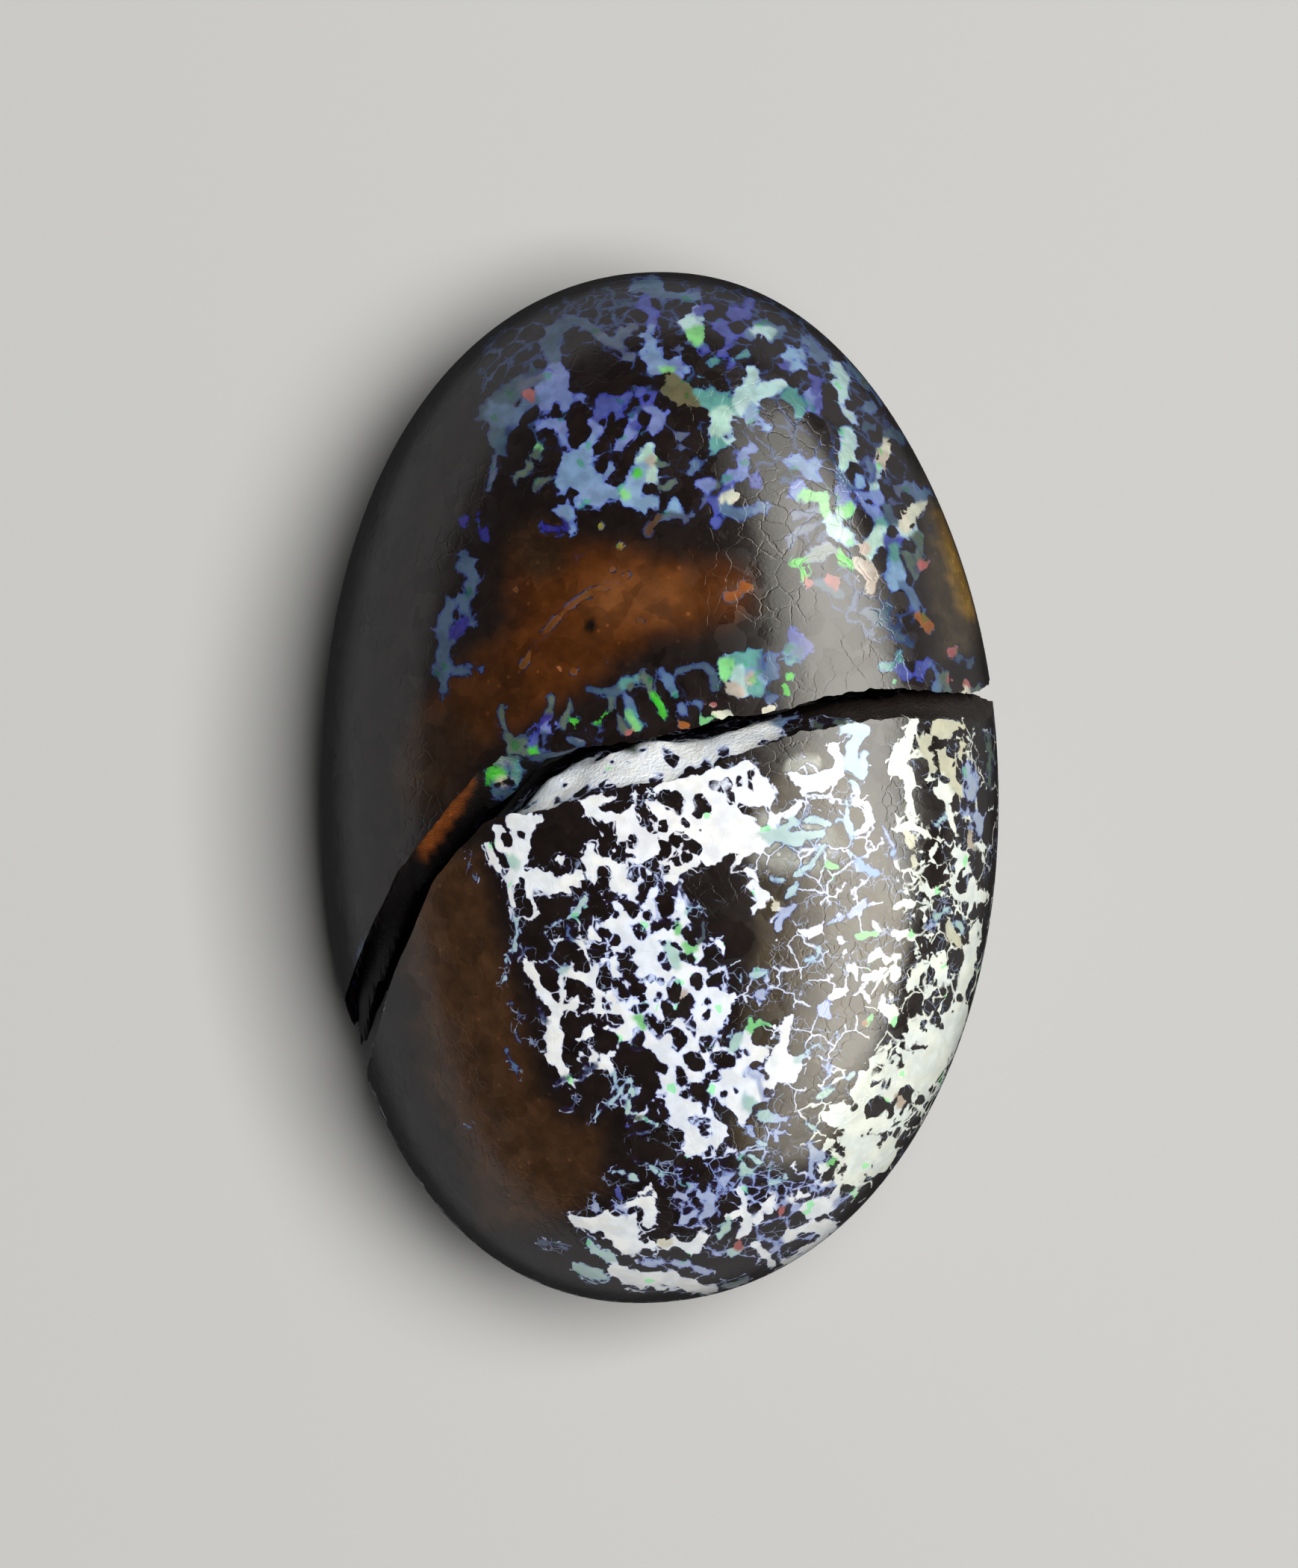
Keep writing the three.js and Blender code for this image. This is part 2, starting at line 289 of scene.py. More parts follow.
# Markings of the upper half: the network at its far end, from the left rim to the right
UPPER_NETWORK = (
    stroke(HAZE, (780, 435, 8), (762, 430, 8), (744, 444, 9), (738, 462, 10), (741, 482, 8),
           (745, 503, 11)),
    stroke(HAZE, (780, 435, 7), (800, 443, 5)),
    stroke(MAUVE, (806, 450, 6), (826, 462, 5), (840, 478, 6)),
    stroke(ROCK, (756, 448, 4), (768, 442, 4)),
    stroke(LILAC, (745, 503, 13), (738, 526, 18), (725, 541, 12), (752, 540, 13), (766, 536, 7),
           (778, 531, 5)),
    stroke(SLATE, (693, 514, 8), (678, 535, 14), (660, 556, 16), (668, 582, 9), (668, 602, 8)),
    stroke(STEEL, (664, 556, 11), (690, 560, 10), (706, 545, 7), (716, 535, 4)),
    stroke(ROSE, (708, 527, 5)),
    stroke(MAUVE, (700, 517, 3), (712, 512, 3), (724, 506, 2)),
    stroke(LILAC, (724, 571, 5), (742, 567, 6), (755, 572, 7), (760, 586, 7), (763, 601, 4)),
    stroke(GREEN, (718, 604, 6)),
    stroke(MOSS, (719, 611, 6), (712, 623, 4), (700, 632, 3), (689, 641, 2)),
    stroke(MOSS, (722, 614, 4), (727, 625, 2)),
    stroke(MAUVE, (662, 612, 3), (661, 635, 3), (655, 655, 2)),
    stroke(MOSS, (735, 640, 2), (722, 645, 2), (714, 656, 2)),
    stroke(LILAC, (793, 560, 7), (796, 576, 11), (789, 597, 13)),
    *strokes(
        PERIWINKLE,
        ((788, 597, 13), (776, 614, 15), (764, 628, 18), (775, 638, 20), (790, 645, 16), (808, 660, 12),
         (822, 662, 7)),
        ((756, 648, 11), (754, 680, 9), (759, 699, 8), (765, 711, 3)),
        ((772, 668, 7), (790, 668, 8), (803, 671, 7)), ((805, 650, 4), (815, 636, 5), (821, 622, 4)),
    ),
    *strokes(ROCK, ((752, 672, 3),), ((778, 670, 3),)),
    stroke(VIOLET, (734, 705, 6), (748, 705, 7), (756, 707, 4)),
    stroke(IRIS, (801, 557, 5), (808, 545, 10), (820, 534, 11), (835, 530, 7)),
    stroke(LILAC, (848, 565, 7), (843, 586, 9), (829, 597, 5)),
    stroke(IRIS, (826, 558, 3), (845, 553, 3)),
    *strokes(ROCK, ((804, 604, 5),), ((804, 623, 5), (816, 613, 3))),
    stroke(STEEL, (853, 385, 9), (868, 384, 13), (882, 390, 10)),
    stroke(STEEL, (890, 397, 6), (906, 396, 5), (932, 395, 5)),
    stroke(IRIS, (866, 409, 9), (875, 424, 6), (877, 437, 5)),
    stroke(MAUVE, (826, 456, 3), (834, 445, 5), (848, 439, 5), (862, 445, 6)),
    stroke(PERIWINKLE, (866, 446, 6), (871, 460, 9), (872, 477, 12), (879, 490, 11), (893, 491, 9),
           (905, 488, 8), (919, 496, 3)),
    stroke(LILAC, (903, 494, 8), (911, 510, 6)),
    stroke(GREEN, (893, 497, 4)),
    stroke(PALE, (937, 419, 8), (925, 429, 10), (932, 446, 12), (932, 461, 9)),
    stroke(IRIS, (938, 466, 6), (945, 466, 4)),
    stroke(GREEN, (926, 449, 7), (938, 447, 7)),
    stroke(MAUVE, (901, 467, 3), (920, 463, 3)),
    *strokes(
        IRIS,
        ((936, 417, 4), (949, 410, 4)),
        ((965, 430, 5), (957, 440, 4), (975, 448, 6), (990, 449, 4), (1005, 445, 4)),
        ((975, 455, 4), (967, 474, 4), (981, 480, 3)), ((981, 480, 3), (980, 489, 2)),
    ),
    stroke(TEAL, (985, 479, 2), (998, 474, 4)),
    stroke(STEEL, (1010, 447, 7), (1022, 439, 9), (1035, 449, 8), (1048, 441, 4)),
    stroke(PALE, (1017, 445, 5), (1028, 446, 5)),
    stroke(IRIS, (982, 420, 7), (997, 420, 6), (1006, 403, 3)),
    stroke(TEAL, (957, 484, 3), (952, 494, 2)),
    stroke(TEAL, (940, 502, 3), (950, 511, 4), (954, 521, 4), (951, 530, 4)),
    stroke(OLIVE, (895, 512, 10), (913, 528, 14), (935, 538, 12), (955, 547, 13), (972, 557, 10)),
    stroke(TEAL, (938, 521, 5), (950, 535, 9), (966, 543, 12), (985, 545, 14), (999, 540, 10)),
    stroke(PALE, (1008, 500, 8), (1005, 515, 12), (1000, 531, 14), (1016, 525, 11), (1031, 520, 8),
           (1045, 515, 9)),
    stroke(PALE, (999, 545, 11), (1004, 556, 7)),
    stroke(SKY, (1006, 552, 7), (1018, 563, 5), (1028, 573, 2)),
    stroke(MINT, (966, 562, 14), (962, 580, 13), (968, 590, 9)),
    stroke(TEAL, (960, 597, 9), (952, 612, 3)),
    stroke(SKY, (1060, 476, 9), (1070, 478, 9), (1068, 490, 9), (1057, 488, 7)),
    stroke(IRIS, (1050, 492, 5)),
    stroke(STEEL, (1079, 455, 4), (1090, 470, 7), (1103, 478, 5)),
    stroke(LILAC, (1089, 532, 11), (1093, 540, 10)),
    stroke(IRIS, (1098, 542, 6), (1111, 541, 2)),
    stroke(TEAL, (1058, 528, 8), (1068, 541, 8), (1068, 554, 5)),
    stroke(IRIS, (1083, 505, 3), (1095, 508, 4), (1093, 522, 4)),
    stroke(IRIS, (859, 525, 3), (858, 534, 4), (867, 542, 6), (875, 531, 3)),
    stroke(LILAC, (893, 552, 4), (880, 559, 12), (876, 573, 6), (874, 582, 3)),
    stroke(IRIS, (862, 565, 3), (850, 570, 4)),
    stroke(MINT, (870, 600, 6), (868, 612, 10), (866, 628, 14), (872, 640, 7), (875, 652, 3)),
    stroke(BLUSH, (873, 617, 4)),
    stroke(SKY, (857, 630, 7), (850, 650, 9), (845, 665, 13), (856, 671, 9), (870, 671, 5),
           (878, 672, 3)),
    stroke(GREEN, (836, 662, 3)),
    stroke(LEAF, (853, 633, 3)),
    *strokes(MAUVE, ((903, 583, 4), (912, 592, 5), (912, 608, 1)), ((908, 581, 4), (926, 578, 2))),
    stroke(MOSS, (882, 621, 2), (896, 624, 2), (908, 618, 1)),
    stroke(STEEL, (919, 620, 4), (930, 621, 4), (925, 631, 3)),
    stroke(MOSS, (901, 645, 3), (892, 653, 4), (880, 655, 3)),
    stroke(SKY, (902, 672, 4), (902, 684, 8), (909, 689, 5), (890, 690, 4)),
    stroke(MAUVE, (882, 693, 2), (900, 691, 2), (914, 693, 2), (922, 697, 2), (933, 688, 4),
           (939, 677, 3), (946, 669, 1)),
    stroke(UMBER, (880, 693, 2), (872, 705, 2), (868, 713, 2)),
    stroke(LILAC, (1010, 604, 5), (997, 604, 6), (992, 622, 8), (990, 638, 8)),
    stroke(LILAC, (990, 636, 7), (978, 641, 6), (966, 643, 5)),
    stroke(MOSS, (958, 648, 6)),
    *strokes(LILAC, ((934, 647, 3), (945, 649, 6), (951, 648, 4)), ((986, 644, 5), (978, 656, 3))),
    stroke(IRIS, (973, 660, 6), (962, 674, 8), (968, 682, 5)),
    stroke(CREAM, (970, 670, 5), (986, 665, 5), (1000, 657, 4)),
    stroke(IRIS, (1000, 655, 4), (1009, 648, 5), (1013, 638, 3)),
    stroke(IRIS, (954, 673, 5), (958, 688, 4), (957, 697, 6)),
    *strokes(STEEL, ((971, 683, 4), (984, 690, 5), (999, 684, 4)), ((1011, 684, 3), (1023, 677, 6))),
    stroke(PERIWINKLE, (1060, 615, 6), (1075, 621, 7), (1086, 621, 8), (1081, 633, 7), (1092, 642, 6)),
    stroke(LILAC, (1071, 648, 7), (1065, 664, 7), (1070, 673, 4)),
    stroke(GREEN, (1075, 672, 5), (1083, 664, 6), (1095, 661, 7), (1104, 666, 4)),
    stroke(MAUVE, (1073, 676, 2), (1065, 690, 2), (1058, 702, 2)),
    stroke(MAUVE, (1062, 690, 2), (1084, 685, 2), (1102, 682, 1)),
    stroke(MAUVE, (1086, 706, 2), (1069, 710, 2), (1058, 719, 3), (1059, 729, 2)),
    stroke(GREEN, (1105, 676, 4), (1108, 690, 6), (1113, 700, 6)),
)

# Dark grains that the upper network lies between
UPPER_GRAINS = strokes(
    ROCK,
    ((788, 486, 30), (812, 498, 26), (848, 508, 14), (885, 512, 6)), ((790, 514, 16), (830, 518, 12)),
    ((848, 462, 11),), ((722, 488, 11),), ((713, 550, 7), (724, 558, 8)), ((745, 552, 9),),
    ((776, 556, 17), (773, 578, 14), (769, 594, 7)), ((700, 586, 19), (692, 606, 16)),
    ((737, 590, 13),), ((741, 614, 13), (734, 630, 12)), ((820, 578, 15),), ((803, 604, 5),),
    ((802, 630, 5), (810, 622, 6), (817, 615, 4)), ((850, 541, 9), (838, 550, 6)), ((865, 532, 7),),
    ((861, 560, 11),), ((891, 541, 11),), ((922, 561, 19), (905, 566, 13)),
    ((892, 592, 16), (893, 608, 14)), ((860, 588, 9), (844, 604, 11), (838, 622, 13), (828, 640, 9)),
    ((933, 592, 17), (940, 606, 12)), ((900, 632, 11),), ((868, 655, 9),),
    ((890, 664, 10), (886, 684, 5)), ((918, 658, 13), (928, 672, 10)), ((958, 624, 16), (972, 618, 10)),
    ((926, 478, 14), (936, 490, 13)), ((892, 448, 12), (903, 456, 12)), ((896, 477, 7),),
    ((958, 460, 10),), ((951, 421, 8),), ((918, 508, 5), (931, 515, 6), (944, 521, 4)),
    ((1064, 508, 12),), ((1104, 520, 9), (1112, 545, 10)), ((1098, 575, 12), (1108, 596, 10)),
    ((1163, 690, 9), (1157, 704, 9)), ((1183, 722, 7),), ((1213, 671, 9),), ((1197, 720, 9),),
    ((1205, 800, 12), (1206, 816, 10)), ((1182, 752, 9),), ((1155, 602, 8), (1160, 590, 7)),
)

# The amber patch: a thin pale vein, and specks
UPPER_SPECKS = (
    stroke(HONEY, (840, 770, 0), (820, 782, 0), (790, 793, 1), (765, 810, 0)),
    stroke(HONEY, (765, 810, 0), (740, 835, 1), (720, 860, 0), (705, 885, 1), (690, 905, 0)),
    *strokes(GOLD, ((803, 704, 1),), ((831, 731, 1),)),
    *strokes(HONEY, ((775, 748, 1),), ((820, 761, 1),)),
    *strokes(ORANGE, ((815, 879, 2),), ((750, 895, 1),)),
    *strokes(HONEY, ((768, 898, 2),), ((690, 790, 1),), ((858, 832, 1),)),
)

# The right flank of the upper half, down to the break
UPPER_FLANK = (
    stroke(PALE, (1122, 494, 8), (1125, 514, 10), (1128, 531, 6), (1133, 548, 3), (1142, 561, 2),
           (1149, 571, 2)),
    stroke(PALE, (1135, 581, 8), (1135, 600, 9)),
    stroke(MINT, (1134, 614, 11), (1131, 622, 8)),
    stroke(STEEL, (1135, 485, 6), (1151, 500, 7), (1166, 511, 8)),
    stroke(MOSS, (1166, 510, 8), (1174, 518, 7)),
    *strokes(STEEL, ((1174, 520, 6), (1184, 535, 6)), ((1165, 545, 7),)),
    *strokes(SLATE, ((1160, 572, 5), (1168, 573, 4)), ((1193, 582, 7), (1204, 584, 7))),
    stroke(CREAM, (1190, 596, 4), (1183, 611, 5)),
    stroke(BLUSH, (1183, 611, 5), (1177, 626, 5)),
    stroke(MINT, (1175, 630, 5), (1171, 646, 4), (1172, 664, 4)),
    *strokes(STEEL, ((1160, 618, 3), (1168, 630, 3), (1167, 642, 3)), ((1125, 640, 5), (1131, 655, 5))),
    stroke(SKY, (1146, 634, 4), (1153, 648, 4)),
    stroke(LILAC, (1126, 655, 5), (1128, 672, 8), (1136, 679, 8)),
    stroke(GREEN, (1125, 689, 8), (1137, 684, 6)),
    stroke(MINT, (1116, 698, 9), (1124, 715, 10), (1139, 724, 6), (1150, 728, 3)),
    stroke(LILAC, (1154, 664, 5), (1164, 670, 8), (1176, 668, 8), (1172, 681, 9), (1175, 693, 6)),
    stroke(ROCK, (1158, 672, 2), (1164, 672, 3)),
    stroke(TEAL, (1177, 703, 4), (1190, 701, 5), (1203, 702, 5)),
    stroke(PALE, (1204, 704, 6), (1213, 712, 7), (1223, 716, 7), (1229, 723, 6)),
    stroke(MOSS, (1230, 718, 5), (1243, 715, 4)),
    stroke(CREAM, (1213, 703, 6), (1215, 690, 6), (1228, 681, 5), (1233, 668, 5)),
    *strokes(STEEL, ((1230, 662, 6), (1217, 652, 6), (1203, 656, 5)), ((1232, 660, 5), (1243, 661, 4))),
    stroke(MAUVE, (1203, 658, 4), (1194, 668, 5)),
    stroke(SLATE, (1186, 680, 4), (1196, 696, 4)),
    stroke(MINT, (1177, 713, 6), (1172, 728, 11), (1165, 743, 6)),
    stroke(BLUSH, (1156, 735, 5)),
    stroke(IRIS, (1190, 726, 4), (1198, 735, 5), (1209, 727, 4)),
    stroke(TEAL, (1198, 735, 4), (1198, 750, 5), (1200, 760, 7)),
    stroke(SKY, (1200, 765, 10), (1202, 775, 10), (1194, 784, 5)),
    *strokes(MOSS, ((1212, 742, 4), (1218, 756, 5), (1225, 770, 3)), ((1226, 724, 5), (1229, 746, 4))),
    stroke(STEEL, (1210, 784, 3), (1220, 795, 4), (1225, 809, 5), (1230, 820, 4)),
    stroke(ORANGE, (1232, 826, 4), (1240, 834, 4), (1247, 837, 3)),
    stroke(ORANGE, (1240, 834, 3), (1242, 843, 2)),
    stroke(LEAF, (1124, 741, 4), (1128, 751, 4), (1138, 756, 3)),
    stroke(BLUSH, (1150, 754, 6), (1160, 762, 8), (1166, 776, 7), (1166, 791, 3)),
    stroke(STONE, (1082, 750, 5), (1095, 744, 9), (1109, 735, 7)),
    *strokes(LEAF, ((1063, 756, 4), (1071, 752, 3)), ((1079, 761, 4), (1075, 772, 3))),
    stroke(ROSE, (1083, 781, 3)),
    stroke(SLATE, (1097, 781, 4), (1114, 787, 5), (1126, 797, 4)),
    stroke(ROSE, (1112, 775, 4), (1120, 781, 4)),
    stroke(SLATE, (1164, 824, 7), (1178, 830, 7), (1189, 836, 4), (1201, 850, 3), (1220, 866, 4)),
    stroke(SLATE, (1182, 824, 4), (1189, 812, 4)),
    stroke(IRIS, (1061, 848, 4), (1070, 860, 8), (1068, 872, 9)),
    stroke(STEEL, (1064, 873, 9), (1050, 876, 6), (1036, 878, 5)),
    stroke(TEAL, (1052, 884, 3), (1066, 886, 2)),
    *strokes(ORANGE, ((977, 800, 4), (988, 795, 2)), ((996, 785, 4), (1004, 786, 2))),
    *strokes(TEAL, ((1205, 878, 4), (1207, 890, 5)), ((1184, 893, 4), (1194, 892, 4))),
    stroke(IRIS, (1206, 898, 6), (1213, 906, 5)),
    stroke(GREEN, (1197, 913, 3)),
    stroke(IRIS, (1229, 888, 5), (1233, 900, 6), (1243, 889, 4)),
    stroke(STEEL, (1251, 895, 3), (1258, 911, 4), (1256, 921, 5)),
    stroke(MOSS, (1266, 905, 4), (1269, 925, 4)),
    stroke(ORANGE, (1267, 935, 3)),
    *strokes(ROSE, ((1276, 911, 4),), ((1292, 917, 4),)),
    stroke(CREAM, (1292, 929, 5)),
    stroke(MOSS, (1310, 925, 6), (1309, 937, 5)),
    *strokes(ROSE, ((1236, 757, 4),), ((1275, 872, 4),)),
    stroke(SLATE, (1288, 880, 4), (1298, 886, 4)),
)

# The blue streak down the left flank of the upper half, and the wisps along its broken edge
UPPER_WISPS = (
    stroke(SLATE, (487, 1264, 2), (485, 1274, 4), (483, 1284, 2)),
    *strokes(
        HAZE,
        ((618, 743, 4), (628, 755, 7), (632, 776, 8), (628, 796, 6), (620, 808, 5)),
        ((615, 758, 4), (622, 762, 4)),
        ((614, 801, 5), (604, 812, 7), (594, 826, 7), (592, 845, 7), (598, 856, 8), (594, 875, 8),
         (588, 891, 8)),
        ((593, 880, 8), (599, 893, 6), (612, 899, 4), (628, 899, 2)), ((594, 900, 5), (594, 932, 2)),
        ((622, 812, 4), (628, 826, 3), (634, 834, 2)),
    ),
    *strokes(
        VIOLET,
        ((609, 848, 4), (619, 839, 4), (624, 831, 2)), ((648, 712, 5), (651, 719, 3)), ((622, 696, 4),),
        ((641, 692, 3),),
    ),
    stroke(HAZE, (630, 892, 4), (642, 895, 2)),
    stroke(MOSS, (672, 948, 2), (674, 962, 4), (678, 980, 5), (686, 992, 7), (690, 1001, 8),
           (704, 1000, 7)),
    stroke(ROCK, (702, 1002, 5)),
    stroke(MOSS, (713, 984, 4), (716, 996, 6), (716, 1004, 5)),
    stroke(LEAF, (714, 1005, 3)),
    stroke(IRIS, (714, 975, 2), (716, 985, 3), (713, 995, 2)),
    stroke(MOSS, (739, 937, 3), (738, 946, 5), (734, 957, 5)),
    stroke(VIOLET, (731, 963, 3), (728, 978, 4), (735, 976, 4)),
    stroke(LILAC, (731, 979, 3), (738, 972, 3), (744, 969, 2)),
    stroke(HAZE, (729, 985, 2), (727, 1003, 3)),
    stroke(MOSS, (764, 942, 1), (758, 955, 2), (754, 965, 3), (756, 973, 1)),
    stroke(LEAF, (768, 966, 2), (771, 976, 2), (773, 967, 1)),
    stroke(LEAF, (800, 967, 2), (806, 961, 3), (813, 955, 3), (816, 950, 2)),
    stroke(MOSS, (817, 948, 2), (818, 926, 2)),
    stroke(HAZE, (767, 990, 5), (779, 993, 4)),
    stroke(STONE, (777, 985, 4), (784, 978, 4), (790, 984, 4)),
    stroke(HAZE, (797, 989, 4), (803, 978, 2)),
    stroke(SLATE, (790, 921, 2), (806, 925, 4), (822, 924, 6), (832, 919, 5)),
    stroke(TEAL, (838, 916, 5), (850, 911, 3), (857, 907, 2)),
    stroke(MOSS, (845, 921, 3), (843, 934, 4)),
    stroke(STEEL, (843, 936, 4), (843, 948, 5), (850, 957, 4)),
    stroke(TEAL, (849, 960, 5), (855, 973, 5)),
    stroke(GREEN, (840, 955, 2), (846, 964, 2), (852, 976, 2)),
    stroke(MOSS, (830, 963, 1), (835, 975, 2), (841, 984, 1)),
    stroke(ROSE, (844, 983, 3)),
    stroke(MOSS, (861, 905, 4), (868, 915, 4), (874, 930, 3)),
    stroke(LEAF, (876, 932, 2), (884, 944, 3), (888, 957, 3)),
    stroke(STEEL, (886, 900, 3), (892, 908, 5), (897, 920, 5), (904, 928, 5)),
    stroke(TEAL, (907, 932, 5)),
    stroke(STEEL, (914, 942, 5), (917, 952, 4), (924, 963, 1)),
    stroke(STEEL, (919, 940, 3), (930, 940, 2), (938, 946, 1)),
    stroke(SLATE, (909, 898, 2), (925, 893, 2), (945, 893, 2), (955, 905, 3), (958, 920, 3)),
    stroke(ORANGE, (915, 970, 3), (921, 970, 2)),
    stroke(ROSE, (956, 944, 4)),
    stroke(CREAM, (955, 955, 4), (966, 958, 4), (979, 959, 2)),
    stroke(GREEN, (940, 968, 3), (953, 963, 3)),
    stroke(PALE, (992, 888, 16), (1000, 902, 22), (998, 916, 15)),
    stroke(SKY, (1012, 890, 14), (1016, 908, 10)),
    stroke(TEAL, (988, 880, 8), (1004, 878, 7), (1020, 884, 8)),
    stroke(STEEL, (1027, 890, 10), (1033, 902, 8)),
    stroke(TEAL, (1008, 924, 6), (1015, 922, 6)),
    stroke(GREEN, (968, 887, 4), (973, 894, 7), (970, 904, 5)),
    *strokes(BLUSH, ((979, 921, 5), (991, 928, 3)), ((1006, 909, 4),)),
    *strokes(LEAF, ((1051, 918, 5), (1052, 926, 4)), ((1054, 912, 2), (1058, 905, 2))),
    stroke(STEEL, (1028, 939, 3), (1038, 932, 3)),
    stroke(CREAM, (1023, 950, 4), (1033, 951, 3)),
)

# The lower half: white opal on its upper left, above the dark flank
LOWER_LEFT = (
    *strokes(
        WHITE,
        ((653, 1132, 4), (660, 1150, 6), (667, 1163, 5), (672, 1173, 2)),
        ((668, 1112, 8), (668, 1135, 5)),
        ((690, 1100, 14), (705, 1100, 13), (720, 1102, 9), (731, 1108, 4)),
        ((697, 1120, 14), (692, 1140, 17), (697, 1160, 15), (690, 1175, 10)),
        ((703, 1170, 10), (725, 1180, 14), (745, 1182, 17), (762, 1180, 11), (772, 1172, 8)),
        ((755, 1150, 3), (745, 1148, 3), (762, 1160, 5), (770, 1165, 6)),
        ((681, 1180, 6), (683, 1196, 4), (690, 1215, 4), (695, 1228, 4)),
    ),
    stroke(PALE, (693, 1232, 4), (692, 1252, 3), (690, 1268, 3)),
    stroke(PALE, (689, 1272, 2), (684, 1281, 2), (677, 1286, 2), (676, 1298, 2), (677, 1309, 3),
           (673, 1315, 3)),
    stroke(WHITE, (708, 1184, 6), (710, 1202, 4), (718, 1214, 3), (719, 1221, 3), (712, 1230, 2),
           (704, 1231, 2), (699, 1225, 2)),
    *strokes(
        ROCK,
        ((693, 1189, 5), (698, 1206, 7), (707, 1221, 6)), ((678, 1121, 5), (681, 1131, 6)),
        ((696, 1115, 3), (701, 1117, 2)), ((673, 1161, 2), (677, 1167, 2)),
        ((722, 1142, 7), (716, 1158, 5), (706, 1164, 3)),
    ),
    stroke(MINT, (683, 1152, 5), (690, 1158, 4)),
    *strokes(
        WHITE,
        ((703, 1287, 4), (711, 1299, 8), (723, 1317, 9), (733, 1335, 9), (746, 1349, 11),
         (757, 1352, 9)),
        ((748, 1350, 11), (740, 1368, 9), (741, 1388, 14), (740, 1404, 13), (747, 1420, 10),
         (757, 1438, 6), (765, 1450, 4), (771, 1458, 2)),
        ((757, 1350, 9), (768, 1345, 7), (772, 1337, 5), (777, 1326, 3)),
        ((752, 1342, 5), (752, 1325, 5), (751, 1308, 5), (756, 1299, 5), (772, 1303, 7), (788, 1311, 9),
         (800, 1312, 5)),
    ),
    stroke(PALE, (722, 1270, 2), (727, 1284, 2), (737, 1294, 2), (749, 1301, 3)),
    stroke(MAUVE, (699, 1279, 1), (704, 1270, 2), (719, 1271, 1)),
    stroke(PALE, (741, 1266, 2), (735, 1258, 3), (731, 1249, 2), (742, 1238, 2), (758, 1231, 3),
           (772, 1222, 5), (778, 1208, 5), (784, 1203, 4)),
    stroke(WHITE, (739, 1260, 2), (760, 1258, 2), (775, 1262, 5), (783, 1270, 4), (788, 1286, 3),
           (794, 1302, 4)),
    stroke(PALE, (768, 1264, 2), (756, 1270, 2), (748, 1277, 2), (755, 1290, 2), (757, 1298, 2)),
    stroke(MAUVE, (726, 1277, 1), (748, 1277, 1)),
    stroke(STEEL, (759, 1239, 4), (762, 1248, 5), (765, 1256, 3)),
    *strokes(
        WHITE,
        ((790, 1240, 4), (792, 1252, 6), (803, 1258, 4)), ((779, 1239, 3), (770, 1238, 3)),
        ((760, 1388, 1), (775, 1392, 3), (790, 1382, 8), (802, 1377, 3)),
        ((783, 1356, 3), (795, 1352, 4), (808, 1358, 4)),
        ((768, 1408, 3), (782, 1413, 4), (798, 1420, 7), (810, 1424, 9), (818, 1432, 5),
         (823, 1438, 2)),
        ((790, 1402, 3), (798, 1413, 5)), ((806, 1414, 5), (820, 1410, 5), (830, 1401, 5)),
    ),
    stroke(PALE, (823, 1438, 2), (826, 1450, 2), (827, 1462, 2)),
    stroke(MAUVE, (797, 1427, 2), (786, 1433, 2), (778, 1446, 1)),
    stroke(MAUVE, (760, 1443, 1), (747, 1447, 2), (746, 1460, 1)),
    stroke(MAUVE, (774, 1463, 1), (766, 1484, 2), (754, 1484, 1)),
    stroke(PALE, (868, 1425, 2), (858, 1436, 2), (846, 1444, 4), (835, 1453, 4), (829, 1465, 4),
           (820, 1475, 3), (806, 1487, 3), (792, 1501, 1)),
    stroke(MINT, (845, 1461, 3), (849, 1465, 2), (843, 1474, 3), (840, 1492, 2), (836, 1500, 1)),
    stroke(WHITE, (882, 1460, 3), (875, 1474, 5), (866, 1486, 4), (855, 1496, 3), (848, 1502, 1)),
    stroke(IRIS, (836, 1509, 2), (848, 1507, 1)),
    stroke(MOSS, (841, 1497, 1), (866, 1499, 2)),
    stroke(MINT, (866, 1502, 3), (879, 1503, 4)),
    stroke(MAUVE, (842, 1521, 1), (860, 1518, 2), (872, 1516, 1)),
    stroke(MOSS, (863, 1526, 1), (864, 1536, 2), (854, 1541, 1), (847, 1546, 1), (850, 1554, 2),
           (862, 1556, 2)),
    stroke(PALE, (864, 1557, 3), (878, 1568, 5)),
    stroke(MINT, (884, 1572, 3), (898, 1574, 3)),
    stroke(PALE, (815, 1571, 1), (830, 1569, 3), (848, 1576, 5), (855, 1582, 2)),
    stroke(MAUVE, (812, 1580, 1), (824, 1584, 3)),
    stroke(IRIS, (826, 1592, 3), (828, 1600, 3), (833, 1606, 2)),
    stroke(MAUVE, (627, 1145, 1), (629, 1165, 1), (637, 1177, 1)),
    stroke(MOSS, (700, 1364, 1), (722, 1359, 1)),
    stroke(MAUVE, (722, 1350, 2), (726, 1361, 2), (731, 1368, 1)),
    stroke(MAUVE, (683, 1340, 1), (697, 1360, 1), (690, 1375, 1), (692, 1394, 1), (725, 1398, 1)),
    stroke(STEEL, (676, 1403, 2), (684, 1417, 3), (690, 1432, 3), (693, 1442, 1)),
)

